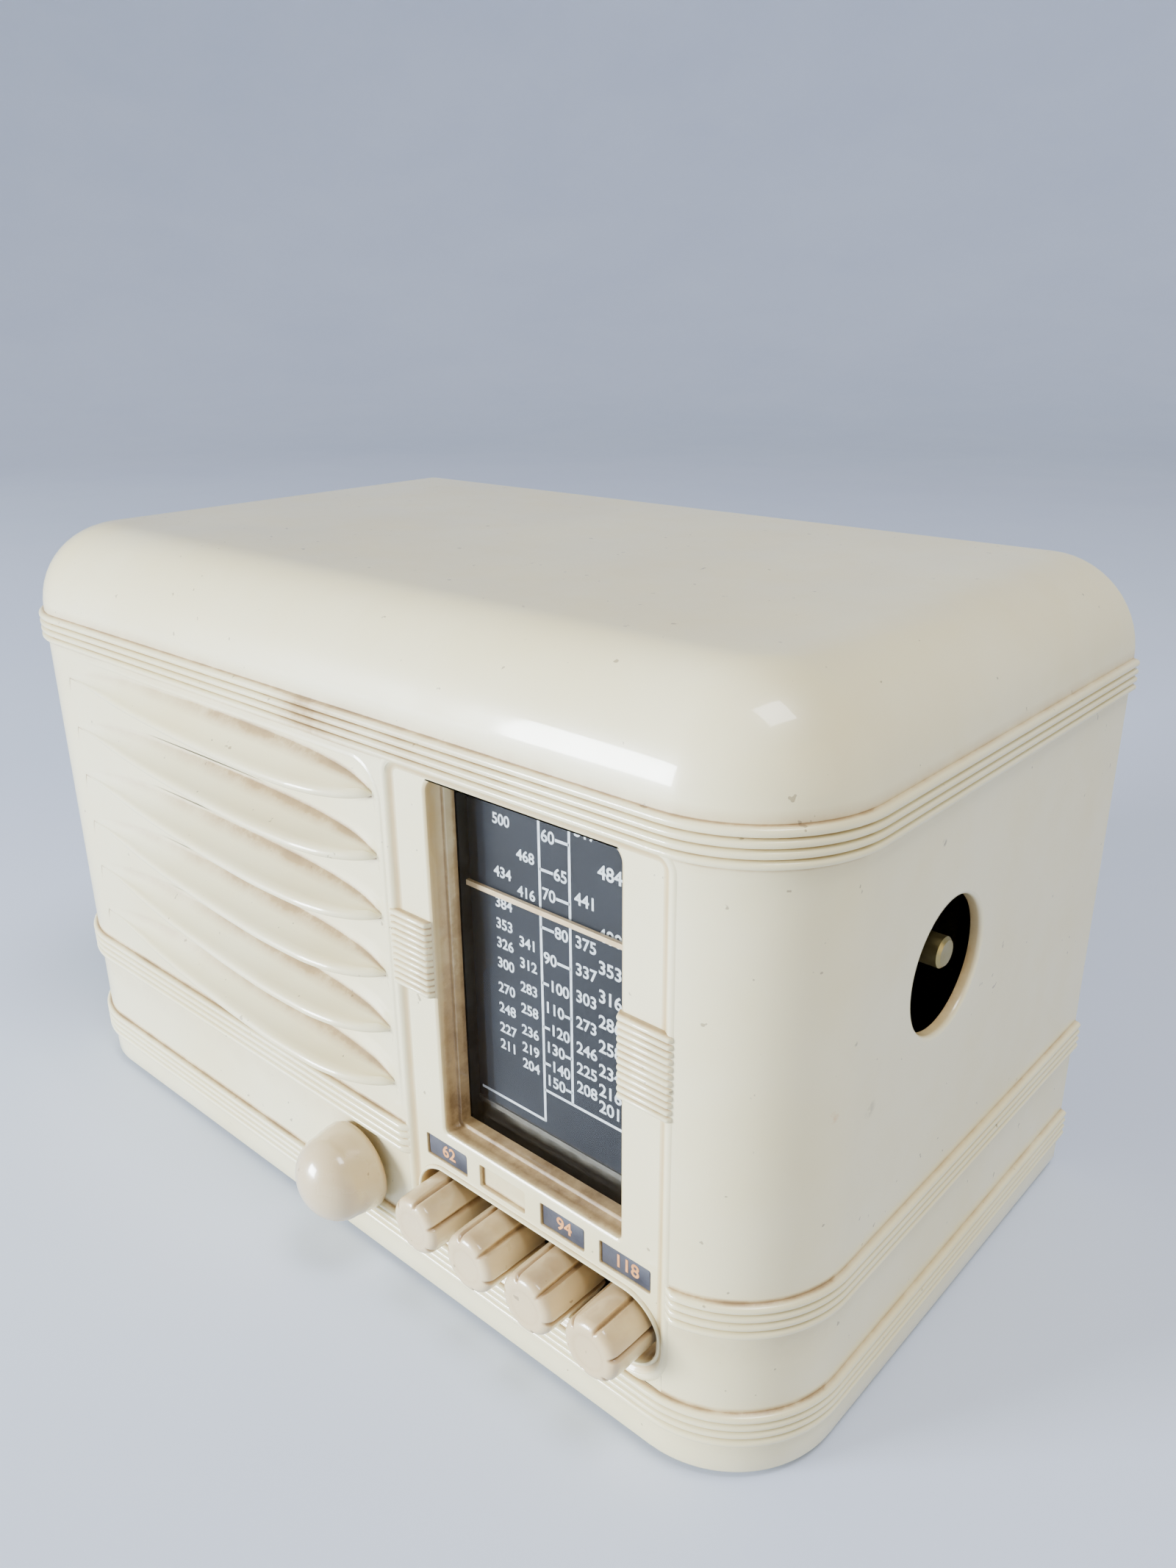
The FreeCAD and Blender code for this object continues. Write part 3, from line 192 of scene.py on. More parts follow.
def ivory(name, base, deep, rough=0.34, mottle=0.55, top_dust_and_shade=0.0, scuffs=()):
    """Old moulded plastic: yellowed in patches, flow marks, and painted warm shade and grime with painted
    shade where the attributes say so. The top setting adds a brown of dust and painted shade on upward faces.
    """
    n = Nodes(name)
    place = n.coordinates()
    patches = n.noise(14.0, 3.0, 0.6, place)
    clouds = n.noise(60.0, 5.0, 0.6, place)
    fine = n.noise(900.0, 3.0, 0.6, place)
    tone = n.mix(n.ramp(patches, 0.35, 0.7, 0.0, mottle), base, deep)
    tone = n.mix(n.ramp(clouds, 0.45, 0.75, 0.0, 0.22), tone, deep)
    # Painted warm shade, where the attribute lays it.
    warm_shade = n.attribute("amber")
    tone = n.mix(n.math("MULTIPLY", warm_shade, n.ramp(clouds, 0.25, 0.7, 0.75, 1.0)), tone, AMBER_SHADE)
    # One attribute carries both grime and painted shade, and both darken the tone the same way.
    dirt_and_shade = n.attribute("grime")
    broken = n.ramp(n.noise(110.0, 6.0, 0.7, place), 0.3, 0.62, 0.4, 1.0)
    lain = n.math("MULTIPLY", dirt_and_shade, broken, True)
    tone = n.mix(n.ramp(lain, 0.02, 0.45, 0.0, 0.8), tone, PALE_GRIME_AND_SHADE)
    tone = n.mix(n.ramp(lain, 0.35, 1.0, 0.0, 0.92), tone, DARK_GRIME_AND_SHADE)
    specks = n.ramp(n.noise(420.0, 2.0, 0.5, place), 0.735, 0.76, 0.0, 0.55)
    tone = scuffed(n, n.mix(specks, tone, SPECK), place, scuffs)
    # Upward faces take a brown that stands for dust and painted shade.
    if top_dust_and_shade:
        up = n.node("SeparateXYZ", {"Vector": n.node("NewGeometry").outputs["Normal"]}).outputs["Z"]
        on_top = n.math("MULTIPLY", n.ramp(up, 0.25, 0.95), n.ramp(clouds, 0.3, 0.65, 0.3, 1.0))
        tone = n.mix(n.math("MULTIPLY", on_top, top_dust_and_shade), tone, DUST_AND_SHADE_TONE)
    dull = n.math("MULTIPLY", dirt_and_shade, 0.28)
    worn = n.math("ADD", n.ramp(clouds, 0.35, 0.7, rough - 0.05, rough + 0.1), dull, True)
    surface = n.bump(n.noise(26.0, 3.0, 0.5, place), 0.18, 0.0012)
    skin = n.bump(fine, 0.10, 0.00015, Normal=surface)
    n.principled(Base_Color=tone, Roughness=worn, Normal=skin, Coat_Weight=0.6, Coat_Roughness=0.06,
                 Subsurface_Weight=0.08, Subsurface_Radius=(0.004, 0.003, 0.0018), Subsurface_Scale=1.0)
    return n.material


def metal(name, tint, rough, stain, metallic=1.0, patina=0.35):
    """Brushed metal with a stain in clouds."""
    n = Nodes(name)
    place = n.coordinates()
    cloud = n.noise(90.0, 5.0, 0.6, place)
    tone = n.mix(n.ramp(cloud, 0.4, 0.7, 0.0, patina), tint, stain)
    wear = n.ramp(n.noise(240.0, 4.0, 0.6, place), 0.3, 0.7, rough - 0.08, rough + 0.14)
    stretched = n.node("Mapping", {"Vector": place, "Scale": (1.0, 1.0, 12.0)}).outputs["Vector"]
    lines = n.noise(600.0, 2.0, 0.5, stretched)
    n.principled(Base_Color=tone, Roughness=wear, Metallic=metallic, Normal=n.bump(lines, 0.15, 0.0002))
    return n.material


def plain(name, base, second, rough, scale=120.0, bump=0.2, depth=0.0003, **more):
    """A matt material with two tones and a grain."""
    n = Nodes(name)
    place = n.coordinates()
    cloud = n.noise(scale, 5.0, 0.6, place)
    tone = n.mix(n.ramp(cloud, 0.35, 0.7), base, second)
    grain = n.noise(scale * 7, 4.0, 0.65, place)
    wear = n.ramp(cloud, 0.3, 0.7, rough - 0.06, rough + 0.08)
    n.principled(Base_Color=tone, Roughness=wear, Normal=n.bump(grain, bump, depth), **more)
    return n.material


def clear(name, tint, rough, smeared):
    """Clear glass or sheet: it lets the view through and mirrors at a glancing angle."""
    n = Nodes(name)
    facing = n.node("LayerWeight", {"Blend": 0.5}).outputs["Facing"]
    mirror = n.math("MULTIPLY", n.math("POWER", facing, 5.0), 0.96)
    smear = n.ramp(n.noise(70.0, 5.0, 0.65, n.coordinates()), 0.5, 0.8, 0.01, smeared)
    share = n.math("ADD", mirror, smear, True)
    gloss = n.node("BsdfGlossy", {"Color": (1, 1, 1, 1), "Roughness": rough}).outputs[0]
    through = n.node("BsdfTransparent", {"Color": tint}).outputs[0]
    both = n.node("MixShader", {0: share, 1: through, 2: gloss}).outputs[0]
    n.tree.links.new(both, n.out.inputs["Surface"])
    return n.material


IVORY = ivory("moulded_ivory", colour(239, 230, 190), colour(226, 210, 154), scuffs=SCUFFS)
IVORY_BUTTON = ivory("button_ivory", colour(226, 208, 168), colour(203, 177, 128), rough=0.3, mottle=0.8,
                     top_dust_and_shade=0.8)
IVORY_KNOB = ivory("knob_ivory", colour(214, 196, 160), colour(192, 168, 124), rough=0.24, mottle=0.7)
DIAL = plain("dial_enamel", colour(20, 22, 28), colour(30, 33, 40), 0.5, 60.0, 0.0, Specular_IOR_Level=0.2)
PRINT = plain("dial_print", colour(232, 238, 242), colour(196, 206, 216), 0.55, 300.0)
SLATE = plain("slate_card", colour(48, 50, 60), colour(70, 72, 82), 0.5, 180.0)
NUMERAL = plain("gilt_number", colour(226, 160, 98), colour(196, 126, 66), 0.5, 400.0)
NEEDLE = plain("needle_paint", colour(232, 206, 164), colour(206, 174, 124), 0.42, 220.0)
STEEL = metal("plated_steel", colour(176, 176, 172), 0.34, colour(120, 108, 90))
SHAFT = metal("yellowed_plating", colour(158, 144, 98), 0.38, colour(104, 84, 48), patina=0.6)
ALUMINIUM = metal("bright_aluminium", colour(206, 208, 210), 0.3, colour(168, 168, 164))
PLATE = metal("chassis_plate", colour(142, 140, 132), 0.46, colour(104, 84, 58), patina=0.6)
DARK = plain("dark_wheel", colour(46, 42, 38), colour(70, 62, 52), 0.42)
GREY = metal("speaker_steel", colour(104, 104, 100), 0.5, colour(74, 66, 56), metallic=0.8)
PAPER = plain("speaker_paper", colour(62, 54, 46), colour(88, 76, 62), 0.9, 240.0, 0.5, 0.0006)
IRON = metal("transformer_iron", colour(70, 66, 62), 0.6, colour(96, 62, 38), metallic=0.7, patina=0.6)
BAKELITE = plain("dark_bakelite", colour(40, 26, 20), colour(62, 38, 26), 0.28, 140.0)
BULB = clear("bulb_glass", (0.86, 0.88, 0.86, 1), 0.03, 0.10)
WINDOW = clear("clear_window", (0.97, 0.97, 0.96, 1), 0.04, 0.012)
BOARD = plain("fibreboard", colour(112, 84, 54), colour(84, 62, 40), 0.82, 90.0, 0.55, 0.0006)
RUBBER = plain("dark_rubber", colour(34, 32, 30), colour(54, 50, 46), 0.75, 160.0, 0.3)
CORD = plain("waxed_cord", colour(150, 132, 96), colour(112, 92, 62), 0.6, 900.0, 0.5)

# ---------------------------------------------------------------- mesh helpers


def piece(name, points, faces, material, body, slot, marks, sharp=38.0, replaces=()):
    """A new mesh piece that rides on a body. marks holds, for each point, its grime with painted shade and
    its painted warm shade.
    """
    mesh = bpy.data.meshes.new(name)
    mesh.from_pydata((np.asarray(points, float) / 1000.0 + ORIGIN).tolist(), [], [list(f) for f in faces])
    mesh.validate()
    for key, values in marks.items():
        layer = mesh.attributes.new(key, "FLOAT", "POINT")
        layer.data.foreach_set("value", np.asarray(values, np.float32))
    mesh.polygons.foreach_set("use_smooth", np.ones(len(mesh.polygons), bool))
    mesh.set_sharp_from_angle(angle=math.radians(sharp))
    mesh.materials.append(material)
    thing = bpy.data.objects.new(name, mesh)
    bpy.context.scene.collection.objects.link(thing)
    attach(thing, body)
    if replaces:
        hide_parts(*replaces)
    return thing


class Soup:
    """Collects points, faces and marks for one piece."""

    def __init__(self):
        self.points, self.faces, self.grime, self.amber = [], [], [], []

    def add(self, points, grime=0.0, amber=0.0):
        """Adds points and gives back their numbers."""
        start = len(self.points)
        points = [tuple(map(float, p)) for p in points]
        self.points += points
        self.grime += list(np.broadcast_to(grime, len(points)).astype(float))
        self.amber += list(np.broadcast_to(amber, len(points)).astype(float))
        return list(range(start, start + len(points)))

    def rings(self, rings, closed=True, flip=False):
        """Skins lists of point numbers one after the other."""
        for a, b in zip(rings, rings[1:]):
            count = len(a)
            for i in range(count if closed else count - 1):
                j = (i + 1) % count
                face = (a[i], a[j], b[j], b[i])
                self.faces.append(face[::-1] if flip else face)

    def caps(self, rings):
        """Closes both ends of a skin."""
        self.faces.append(tuple(rings[-1]))
        self.faces.append(tuple(rings[0][::-1]))

    def sweep(self, loop, stations):
        """Skins a loop that faces the front through stations of (growth, y, grime with painted shade, painted
        warm shade).
        """
        rings = [self.add([(x, y, z) for x, z in loop(grow)], grime, amber)
                 for grow, y, grime, amber in stations]
        self.rings(rings, flip=True)

    def panel(self, outer, holes, lift, flip=False, grime=0.0):
        """A flat panel with holes. Loops are 2D, lift turns a pair into a point."""
        loops = [outer, *holes]
        flat = [tuple(p) for loop in loops for p in loop]
        numbers = self.add([lift(a, b) for a, b in flat], grime)
        for tri in tessellate_polygon([[Vector((a, b, 0)) for a, b in loop] for loop in loops]):
            points = [np.array(flat[i]) for i in tri]
            area = np.cross(points[1] - points[0], points[2] - points[0])
            if abs(area) < 1e-9:
                continue
            face = [numbers[i] for i in (tri if area > 0 else tri[::-1])]
            self.faces.append(tuple(face[::-1] if flip else face))

    def piece(self, name, material, body, slot, **more):
        marks = {"grime": self.grime, "amber": self.amber}
        return piece(name, self.points, self.faces, material, body, slot, marks, **more)


def rounded(left, low, right, high, radii, grow=0.0, steps=10):
    """A rounded rectangle as a loop that turns from the right side up and over.

    The radii are those of the corners at right-low, right-high, left-high and left-low.
    """
    left, low, right, high = left - grow, low - grow, right + grow, high + grow
    corners = ((right, low, -90, 1, -1), (right, high, 0, 1, 1),
               (left, high, 90, -1, 1), (left, low, 180, -1, -1))
    loop = []
    for (x, z, start, toward_x, toward_z), radius in zip(corners, radii):
        r = max(radius + grow, 0.02)
        for i in range(steps + 1):
            a = math.radians(start + 90 * i / steps)
            loop.append((x - toward_x * r + r * math.cos(a), z - toward_z * r + r * math.sin(a)))
    return loop


def curve_through(xs, ys):
    """Smooth values between stations, without overshoot."""
    xs, ys = np.array(xs, float), np.array(ys, float)
    step = np.diff(xs)
    slope = np.diff(ys) / step
    tangent = np.zeros(len(xs))
    tangent[0], tangent[-1] = slope[0], slope[-1]
    for i in range(1, len(xs) - 1):
        if slope[i - 1] * slope[i] > 0:
            a, b = 2 * step[i] + step[i - 1], step[i] + 2 * step[i - 1]
            tangent[i] = (a + b) / (a / slope[i - 1] + b / slope[i])

    def value(x):
        x = np.clip(x, xs[0], xs[-1])
        i = int(np.clip(np.searchsorted(xs, x) - 1, 0, len(xs) - 2))
        t = (x - xs[i]) / step[i]
        start = (2 * t**3 - 3 * t**2 + 1) * ys[i] + (t**3 - 2 * t**2 + t) * step[i] * tangent[i]
        end = (-2 * t**3 + 3 * t**2) * ys[i + 1] + (t**3 - t**2) * step[i] * tangent[i + 1]
        return float(start + end)

    return value


# ---------------------------------------------------------------- cabinet

LEVELS = [50.3 + 13.5 * k for k in range(6)]  # where the louvres' lips are
CELL_LOW, CELL_HIGH = -5.6, 7.9  # the part of the wall that belongs to a louvre, from its level
GAP_LEFT, GAP_RIGHT = 56.0, 140.0  # the louvres are open between these
GAP_ROW = 6  # the row of a louvre's section that its opening leaves out
# A louvre's section changes along the cabinet: how far its lip reaches out, and how high the lip and the
# hood's upper end lie above the louvre's level.
STATIONS = (27.4, 33.0, 40.7, 50.0, 61.0, 75.0, 90.0, 105.0, 120.0, 132.0, 140.0, 146.0, 150.0, 152.4, 153.2)
REACH = curve_through(STATIONS, (0, 0.45, 1.3, 2.5, 3.85, 5.3, 6.6, 7.6, 8.15, 7.9, 6.9, 5.05, 3.1, 1.3, 0))
LIP = curve_through(STATIONS, (1.9, 1.6, 1.1, 0.4, 0.1, 0, 0, 0, 0, 0, 0.05, 0.15, 0.4, 0.9, 1.3))
RISE = curve_through(STATIONS, (2.1, 3.4, 4.8, 6.0, 6.9, 7.2, 7.3, 7.2, 6.9, 6.4, 5.6, 4.6, 3.2, 2.0, 1.4))


def rib_band(band, shares):
    """Rows of (height, stand-off, darkening) for a band of ribs. Each rib has its share of the band's height.
    """
    low, high = band
    rows, z = [], low
    for share in shares:
        pitch = share * (high - low)
        for u in (0.0, 0.07, 0.13, 0.22, 0.36, 0.5, 0.64, 0.78, 0.87, 0.93):  # up across one rib
            t = abs(2 * u - 1)  # 1 in the grooves, 0 on the crest
            dirt_and_shade = 0.7 * float(np.clip((t - 0.78) / 0.22, 0, 1))
            rows.append((z + u * pitch, RIB * (1 - t**2.6) ** 0.62, dirt_and_shade))
        z += pitch
    rows.append((high, 0.0, 0.85))
    return rows


def hood_rows(x):
    """The section of a louvre at x, as rows of (height above its level, stand-off, grime with painted shade).
    The opening and the lip's underside take painted shade, and the hood's top crease takes dirt and painted
    shade.
    """
    reach, lip, rise = REACH(x), LIP(x), RISE(x)
    size = min(1.0, reach / 2.6)  # the lip grows thinner where the hood runs out
    # How much dirt and painted shade the hood's top crease takes, more towards the right end.
    shade = 0.35 + 0.65 * float(smooth(60.0, 120.0, x))
    under = lip + 0.6 * (rise - lip)
    gap_low, gap_high = lip - 0.3, lip + 0.42 * (rise - lip)
    deep = -WALL if GAP_LEFT <= x <= GAP_RIGHT else 0.0
    rows = [(z, 0.0, 0.0) for z in np.linspace(CELL_LOW, gap_low - 0.4, 5)]
    # The opening's walls take dark painted shade.
    rows += [(gap_low, 0.0, 0.3), (gap_low, deep, 0.9), (gap_high, deep, 0.9), (gap_high, 0.0, 0.8)]
    start = max(reach - 1.5 * size, 0.0)
    # The lip's underside takes painted shade.
    rows += [(under + t * (lip - under), t * start, 0.6) for t in (0.0, 0.5)]
    rows += [(lip, reach - 1.5 * size, 0.4), (lip - 0.02, reach - 0.85 * size, 0.4)]
    # The rounded lip: how far up, how far back from the reach, and its painted shade, darkest at the
    # underside.
    nose = ((0.1, 0.42, 0.25), (0.35, 0.14, 0.05), (0.75, 0.01, 0.0), (1.15, 0.06, 0.0), (1.55, 0.24, 0.0),
            (1.9, 0.55, 0.0), (2.2, 0.95, 0.0))
    rows += [(lip + up * size, reach - back * size, dirt_and_shade) for up, back, dirt_and_shade in nose]
    crest, proud = lip + 2.2 * size, max(reach - 0.95 * size, 0.0)
    # The slope up to the hood's top crease, where dirt and painted shade are laid.
    for t in (0.15, 0.3, 0.45, 0.6, 0.72, 0.82, 0.9, 0.96, 1.0):
        sag = 0.35 * size * math.sin(math.pi * t)
        z = crest + (rise - crest) * t**1.12 - sag
        rows.append((z, proud * (1 - t), 0.7 * smooth(0.55, 1.0, t) * size * shade))
    rows += [(rise + 0.35, 0.0, 0.4 * size * shade), (rise + 0.9, 0.0, 0.06 * size)]
    rows.append((min(rise + 1.6, (rise + 0.9 + CELL_HIGH) / 2), 0.0, 0.0))
    rows.append((CELL_HIGH, 0.0, 0.0))
    return rows


def wall_plan():
    """The wall's plan, from the back of the left side round to the back of the right side.

    Each place is a kind, x, y and the two parts of the outward normal.
    """
    left_side = (DEPTH, 128, 116, 104, 92, HOLE_Y + HOLE_PATCH, 66, HOLE_Y, 46, HOLE_Y - HOLE_PATCH, 31)
    made = [("left", 0.0, y, -1.0, 0.0) for y in left_side]
    for a in np.radians(np.linspace(0, 90, 31)):
        c, s = math.cos(a), math.sin(a)
        made.append(("arc", CORNER - CORNER * c, CORNER - CORNER * s, -c, -s))
    xs = [*np.arange(26.2, 142.0, 1.2), *np.arange(142.2, 153.6, 0.4), 154.2, 155.2, STRIP_LEFT]
    xs += [157.6, 168.0, 180.0, 192.0, 204.0, 216.0, 224.5]
    made += [("front", float(x), 0.0, 0.0, -1.0) for x in xs]
    first = math.degrees(math.asin((STRIP_RIGHT - (WIDTH - CORNER)) / CORNER))
    for a in np.radians([first, first + 1.2, first + 2.6, *np.linspace(first + 5, 90, 26)]):
        c, s = math.cos(a), math.sin(a)
        made.append(("arc", WIDTH - CORNER + CORNER * s, CORNER - CORNER * c, s, -c))
    made += [("right", WIDTH, y, 1.0, 0.0) for y in left_side[::-1]]
    return made


def rib_fade(kind, x, y):
    """The middle band of ribs runs out beside the strip."""
    if kind not in ("front", "arc") or y >= 6.0 or x <= 100:
        return 1.0
    if x < (STRIP_LEFT + STRIP_RIGHT) / 2:
        return float(smooth(STRIP_LEFT - 0.2, STRIP_LEFT - 2.0, x))
    return float(smooth(STRIP_RIGHT + 0.1, STRIP_RIGHT + 2.2, x))


def stain_at(kind, x, z):
    """The smudge on the upper ribs, above the end of the louvres."""
    if kind != "front" or not 127.5 < z < 136:
        return 0.0
    return 0.6 * math.exp(-((x - 134.0) / 9.0) ** 2) + 0.25 * math.exp(-((x - 165.0) / 25.0) ** 2)


FOOT_ROWS = [(0.0, -0.7, 0.2), (0.25, -0.25, 0.1), (0.8, 0.0, 0.0), (4.0, 0.0, 0.0), (7.6, 0.0, 0.1)]
FOOT_ROWS += rib_band(PLINTH_BAND, (0.27, 0.245, 0.24, 0.245))
FOOT_ROWS += [(STRIP_LOW, 0.0, 0.6), (17.0, 0.0, 0.0), (25.0, 0.0, 0.0), (33.8, 0.0, 0.15)]
MIDDLE_ROWS = rib_band(MIDDLE_BAND, (0.26, 0.25, 0.245, 0.245))
UPPER_ROWS = rib_band(UPPER_BAND, (0.24, 0.245, 0.245, 0.27))
CELL_ROWS = len(hood_rows(100.0))
FIRST_CELL = len(FOOT_ROWS) + len(MIDDLE_ROWS) + 1
CELL_STARTS = [FIRST_CELL + CELL_ROWS * k for k in range(len(LEVELS) + 1)]
HOLE_CELLS = CELL_STARTS[2], CELL_STARTS[5]  # the rows between which the panel of the hole lies


def wall_line(kind, x, y, normal_x, normal_y):
    """One upright line of the wall and the lid: its points, and their grime with painted shade."""
    fade = rib_fade(kind, x, y)
    rows = FOOT_ROWS + [(z, off * fade, g * (0.55 + 0.45 * fade)) for z, off, g in MIDDLE_ROWS]
    rows += [(43.2, 0.0, 0.0)]
    for level in LEVELS:
        if kind == "front" and STATIONS[0] < x < STATIONS[-1]:
            section = hood_rows(x)
        else:
            section = [(z, 0.0, 0.0) for z in np.linspace(CELL_LOW, CELL_HIGH, CELL_ROWS)]
        rows += [(level + z, off, g) for z, off, g in section]
    rows += [(127.2, 0.0, 0.1)] + UPPER_ROWS
    side_share = 0.5 if normal_x**2 >= 0.98 else 1.0  # the two sides take half the darkening of the front
    points, grime = [], []
    for z, off, g in rows:
        points.append((x + normal_x * off, y + normal_y * off, z))
        grime.append(min(1.0, g * side_share + stain_at(kind, x, z) * (0.8 + g)))
    for turn in np.radians(np.linspace(0, 90, 15)):
        inward = LID * (1 - math.cos(turn))
        points.append((x - normal_x * inward, y - normal_y * inward, HEIGHT - LID + LID * math.sin(turn)))
        grime.append(0.0 if turn else 0.25)
    return points, grime


def skin_wall(soup, grid, plan):
    """Faces between the wall's lines, without the strip, the louvres' openings and the hole's panel."""
    heights = [soup.points[n][2] for n in grid[0]]
    low_row = next(i for i, z in enumerate(heights) if abs(z - STRIP_LOW) < 1e-6)
    high_row = next(i for i, z in enumerate(heights) if abs(z - STRIP_HIGH) < 1e-6)
    for c in range(len(plan) - 1):
        (kind_a, xa, ya), (kind_b, xb, yb) = plan[c][:3], plan[c + 1][:3]
        mid_x, mid_y = (xa + xb) / 2, (ya + yb) / 2
        strip = STRIP_LEFT < mid_x < STRIP_RIGHT and mid_y < 1.0
        hole = kind_b == "right" and abs(mid_y - HOLE_Y) < HOLE_PATCH
        gap = kind_a == kind_b == "front" and GAP_LEFT <= xa and xb <= GAP_RIGHT + 0.2
        a, b = grid[c], grid[c + 1]
        for r in range(len(heights) - 1):
            in_strip = strip and low_row <= r < high_row
            in_hole = hole and HOLE_CELLS[0] <= r < HOLE_CELLS[1]
            in_gap = gap and FIRST_CELL <= r < CELL_STARTS[-1] and (r - FIRST_CELL) % CELL_ROWS == GAP_ROW
            if not (in_strip or in_hole or in_gap):
                soup.faces.append((a[r], b[r], b[r + 1], a[r + 1]))
    return heights


def tuning_hole(soup, low, high):
    """The panel round the tuning hole, with the hole's rounded edge, which takes painted shade, darker and
    warmer deeper in.
    """
    front_y, back_y = HOLE_Y - HOLE_PATCH, HOLE_Y + HOLE_PATCH

    def ring(grow, x):
        r = HOLE_RADIUS + grow
        return [(x, HOLE_Y + r * math.cos(a), HOLE_Z + r * math.sin(a)) for a in round_angles(96)]

    soup.panel([(front_y, low), (back_y, low), (back_y, high), (front_y, high)],
               [[(y, z) for x, y, z in ring(0.9, WIDTH)]], lambda a, b: (WIDTH, a, b))
    # Rows of (grow, depth, painted shade). The painted warm shade grows with depth too.
    edge = ((0.9, 0.0, 0.0), (0.45, 0.1, 0.0), (0.15, 0.4, 0.1), (0.0, 0.95, 0.25), (0.0, WALL - 0.2, 0.5),
            (0.4, WALL, 0.6), (8.0, WALL, 0.3))
    loops = [soup.add(ring(grow, WIDTH - depth), dirt_and_shade, 0.7 * min(depth, 1.0)) for grow, depth, dirt_and_shade in edge]
    soup.rings(loops, flip=True)


def rim_point(x, y, z):
    """Where the wall's inner face meets the open back, for a point on the outer face."""
    x, z = min(max(x, WALL), WIDTH - WALL), min(max(z, WALL), HEIGHT - WALL)
    side = 1 if x > WIDTH / 2 else -1
    centre_x, centre_z = WIDTH / 2 + side * (WIDTH / 2 - LID), HEIGHT - LID
    dx, dz = x - centre_x, z - centre_z
    length = math.hypot(dx, dz)
    if dz > 0 and dx * side > 0 and length > LID - WALL:
        x, z = centre_x + dx / length * (LID - WALL), centre_z + dz / length * (LID - WALL)
    return x, y, z


def cabinet():
    """The moulding's outside: one skin with the ribs, the louvres, the lid and the hole."""
    soup = Soup()
    plan = wall_plan()
    grid = [soup.add(*wall_line(*place)) for place in plan]
    heights = skin_wall(soup, grid, plan)
    soup.faces.append(tuple(line[-1] for line in grid))
    soup.faces.append(tuple(line[0] for line in grid)[::-1])
    tuning_hole(soup, heights[HOLE_CELLS[0]], heights[HOLE_CELLS[1]])
    outline = [soup.points[i] for i in grid[0] + grid[-1][::-1]]
    rim = [rim_point(*place) for place in outline]
    soup.rings([soup.add(outline), soup.add(rim), soup.add([(x, y - 2.0, z) for x, y, z in rim], 0.4)])
    soup.piece("cabinet", IVORY, "cabinet", "ivory_plastic", replaces=["cabinet_shell"])


def panel_edge():
    """The faint raised edge round the louvres' panel."""
    side_x, top_z, radius = 154.6, 125.8, 8.2
    centre_x, centre_z = side_x - radius, top_z - radius
    path = [(side_x, z) for z in np.linspace(44.0, centre_z, 20)]
    path += [(centre_x + radius * math.cos(a), centre_z + radius * math.sin(a))
             for a in np.linspace(0.1, math.pi / 2 - 0.1, 12)]
    path += [(x, top_z) for x in np.linspace(centre_x, 30.0, 24)]
    profile = ((0.75, 0.0), (0.5, 0.1), (0.25, 0.2), (0.0, 0.24), (-0.2, 0.2), (-0.4, 0.0))
    soup, rings = Soup(), []
    for i, (x, z) in enumerate(path):
        before, after = np.array(path[max(i - 1, 0)]), np.array(path[min(i + 1, len(path) - 1)])
        along = (after - before) / np.hypot(*(after - before))
        fade = min(1.0, i / 3.0, (len(path) - 1 - i) / 8.0)
        rings.append(soup.add([(x + along[1] * a, 0.02 - b * fade, z - along[0] * a) for a, b in profile]))
    soup.rings(rings, closed=False)
    soup.piece("panel_edge", IVORY, "cabinet", "ivory_plastic")


def strip_outline(inset):
    """The recessed strip's edge, drawn in by an inset."""
    return rounded(STRIP_LEFT, STRIP_LOW, STRIP_RIGHT, STRIP_HIGH, (9.0, 3.2, 3.2, 9.0), -inset)


def window_outline(grow):
    """The window's opening, grown or, with a negative value, drawn in."""
    return rounded(167.6, 45.2, 216.4, 126.0, (1.0, 3.0, 3.0, 1.0), grow)


def slot_outline(grow):
    """The oval slot that the four buttons share."""
    return rounded(158.8, 18.1, 226.0, 34.7, (8.3,) * 4, grow, 18)


RECESSES = ((161.5, 174.0), (178.0, 191.0), (195.5, 207.2), (211.2, 223.7))  # from and to


def label_outline(left, right):
    """The outline of a label recess, as a function of how far it has grown."""
    return lambda grow: rounded(left, 36.9, right, 42.3, (0.4,) * 4, grow, 4)


def bowed(x, y, inset):
    """Lets the strip's border follow the cabinet's round corner; further in the strip is flat."""
    over = max(x - (WIDTH - CORNER), 0.0)
    return y + (CORNER - math.sqrt(CORNER**2 - over**2)) * min(1.0, max(0.0, 1.0 - inset / 1.3))


def strip_border(soup):
    """The bead round the strip, and what is left of the cabinet's face at its four corners."""
    # Columns: inset, y, painted shade, painted warm shade. The foot of the step inside the bead takes painted
    # warm shade.
    edge = ((-1.3, 0.04, 0.0, 0.0), (-1.0, -0.1, 0.0, 0.0), (-0.6, -0.2, 0.0, 0.0), (-0.2, -0.14, 0.0, 0.0),
            (0.2, 0.12, 0.0, 0.1), (0.6, 0.5, 0.1, 0.6), (1.1, 0.8, 0.22, 0.85),
            (1.9, STRIP_DEPTH, 0.04, 0.35))
    loops = [soup.add([(x, bowed(x, y, inset), z) for x, z in strip_outline(inset)], dirt_and_shade, warm_shade)
             for inset, y, dirt_and_shade, warm_shade in edge]
    soup.rings(loops, flip=True)
    brim = soup.add([(x, bowed(x, 0.05, 0), z) for x, z in strip_outline(0.2)])
    corners = ((STRIP_RIGHT, STRIP_LOW), (STRIP_RIGHT, STRIP_HIGH),
               (STRIP_LEFT, STRIP_HIGH), (STRIP_LEFT, STRIP_LOW))
    for number, (x, z) in enumerate(corners):
        tip = soup.add([(x, bowed(x, 0.0, 0), z)])[0]
        for i in range(11 * number, 11 * number + 10):
            soup.faces.append((tip, brim[i + 1], brim[i]))


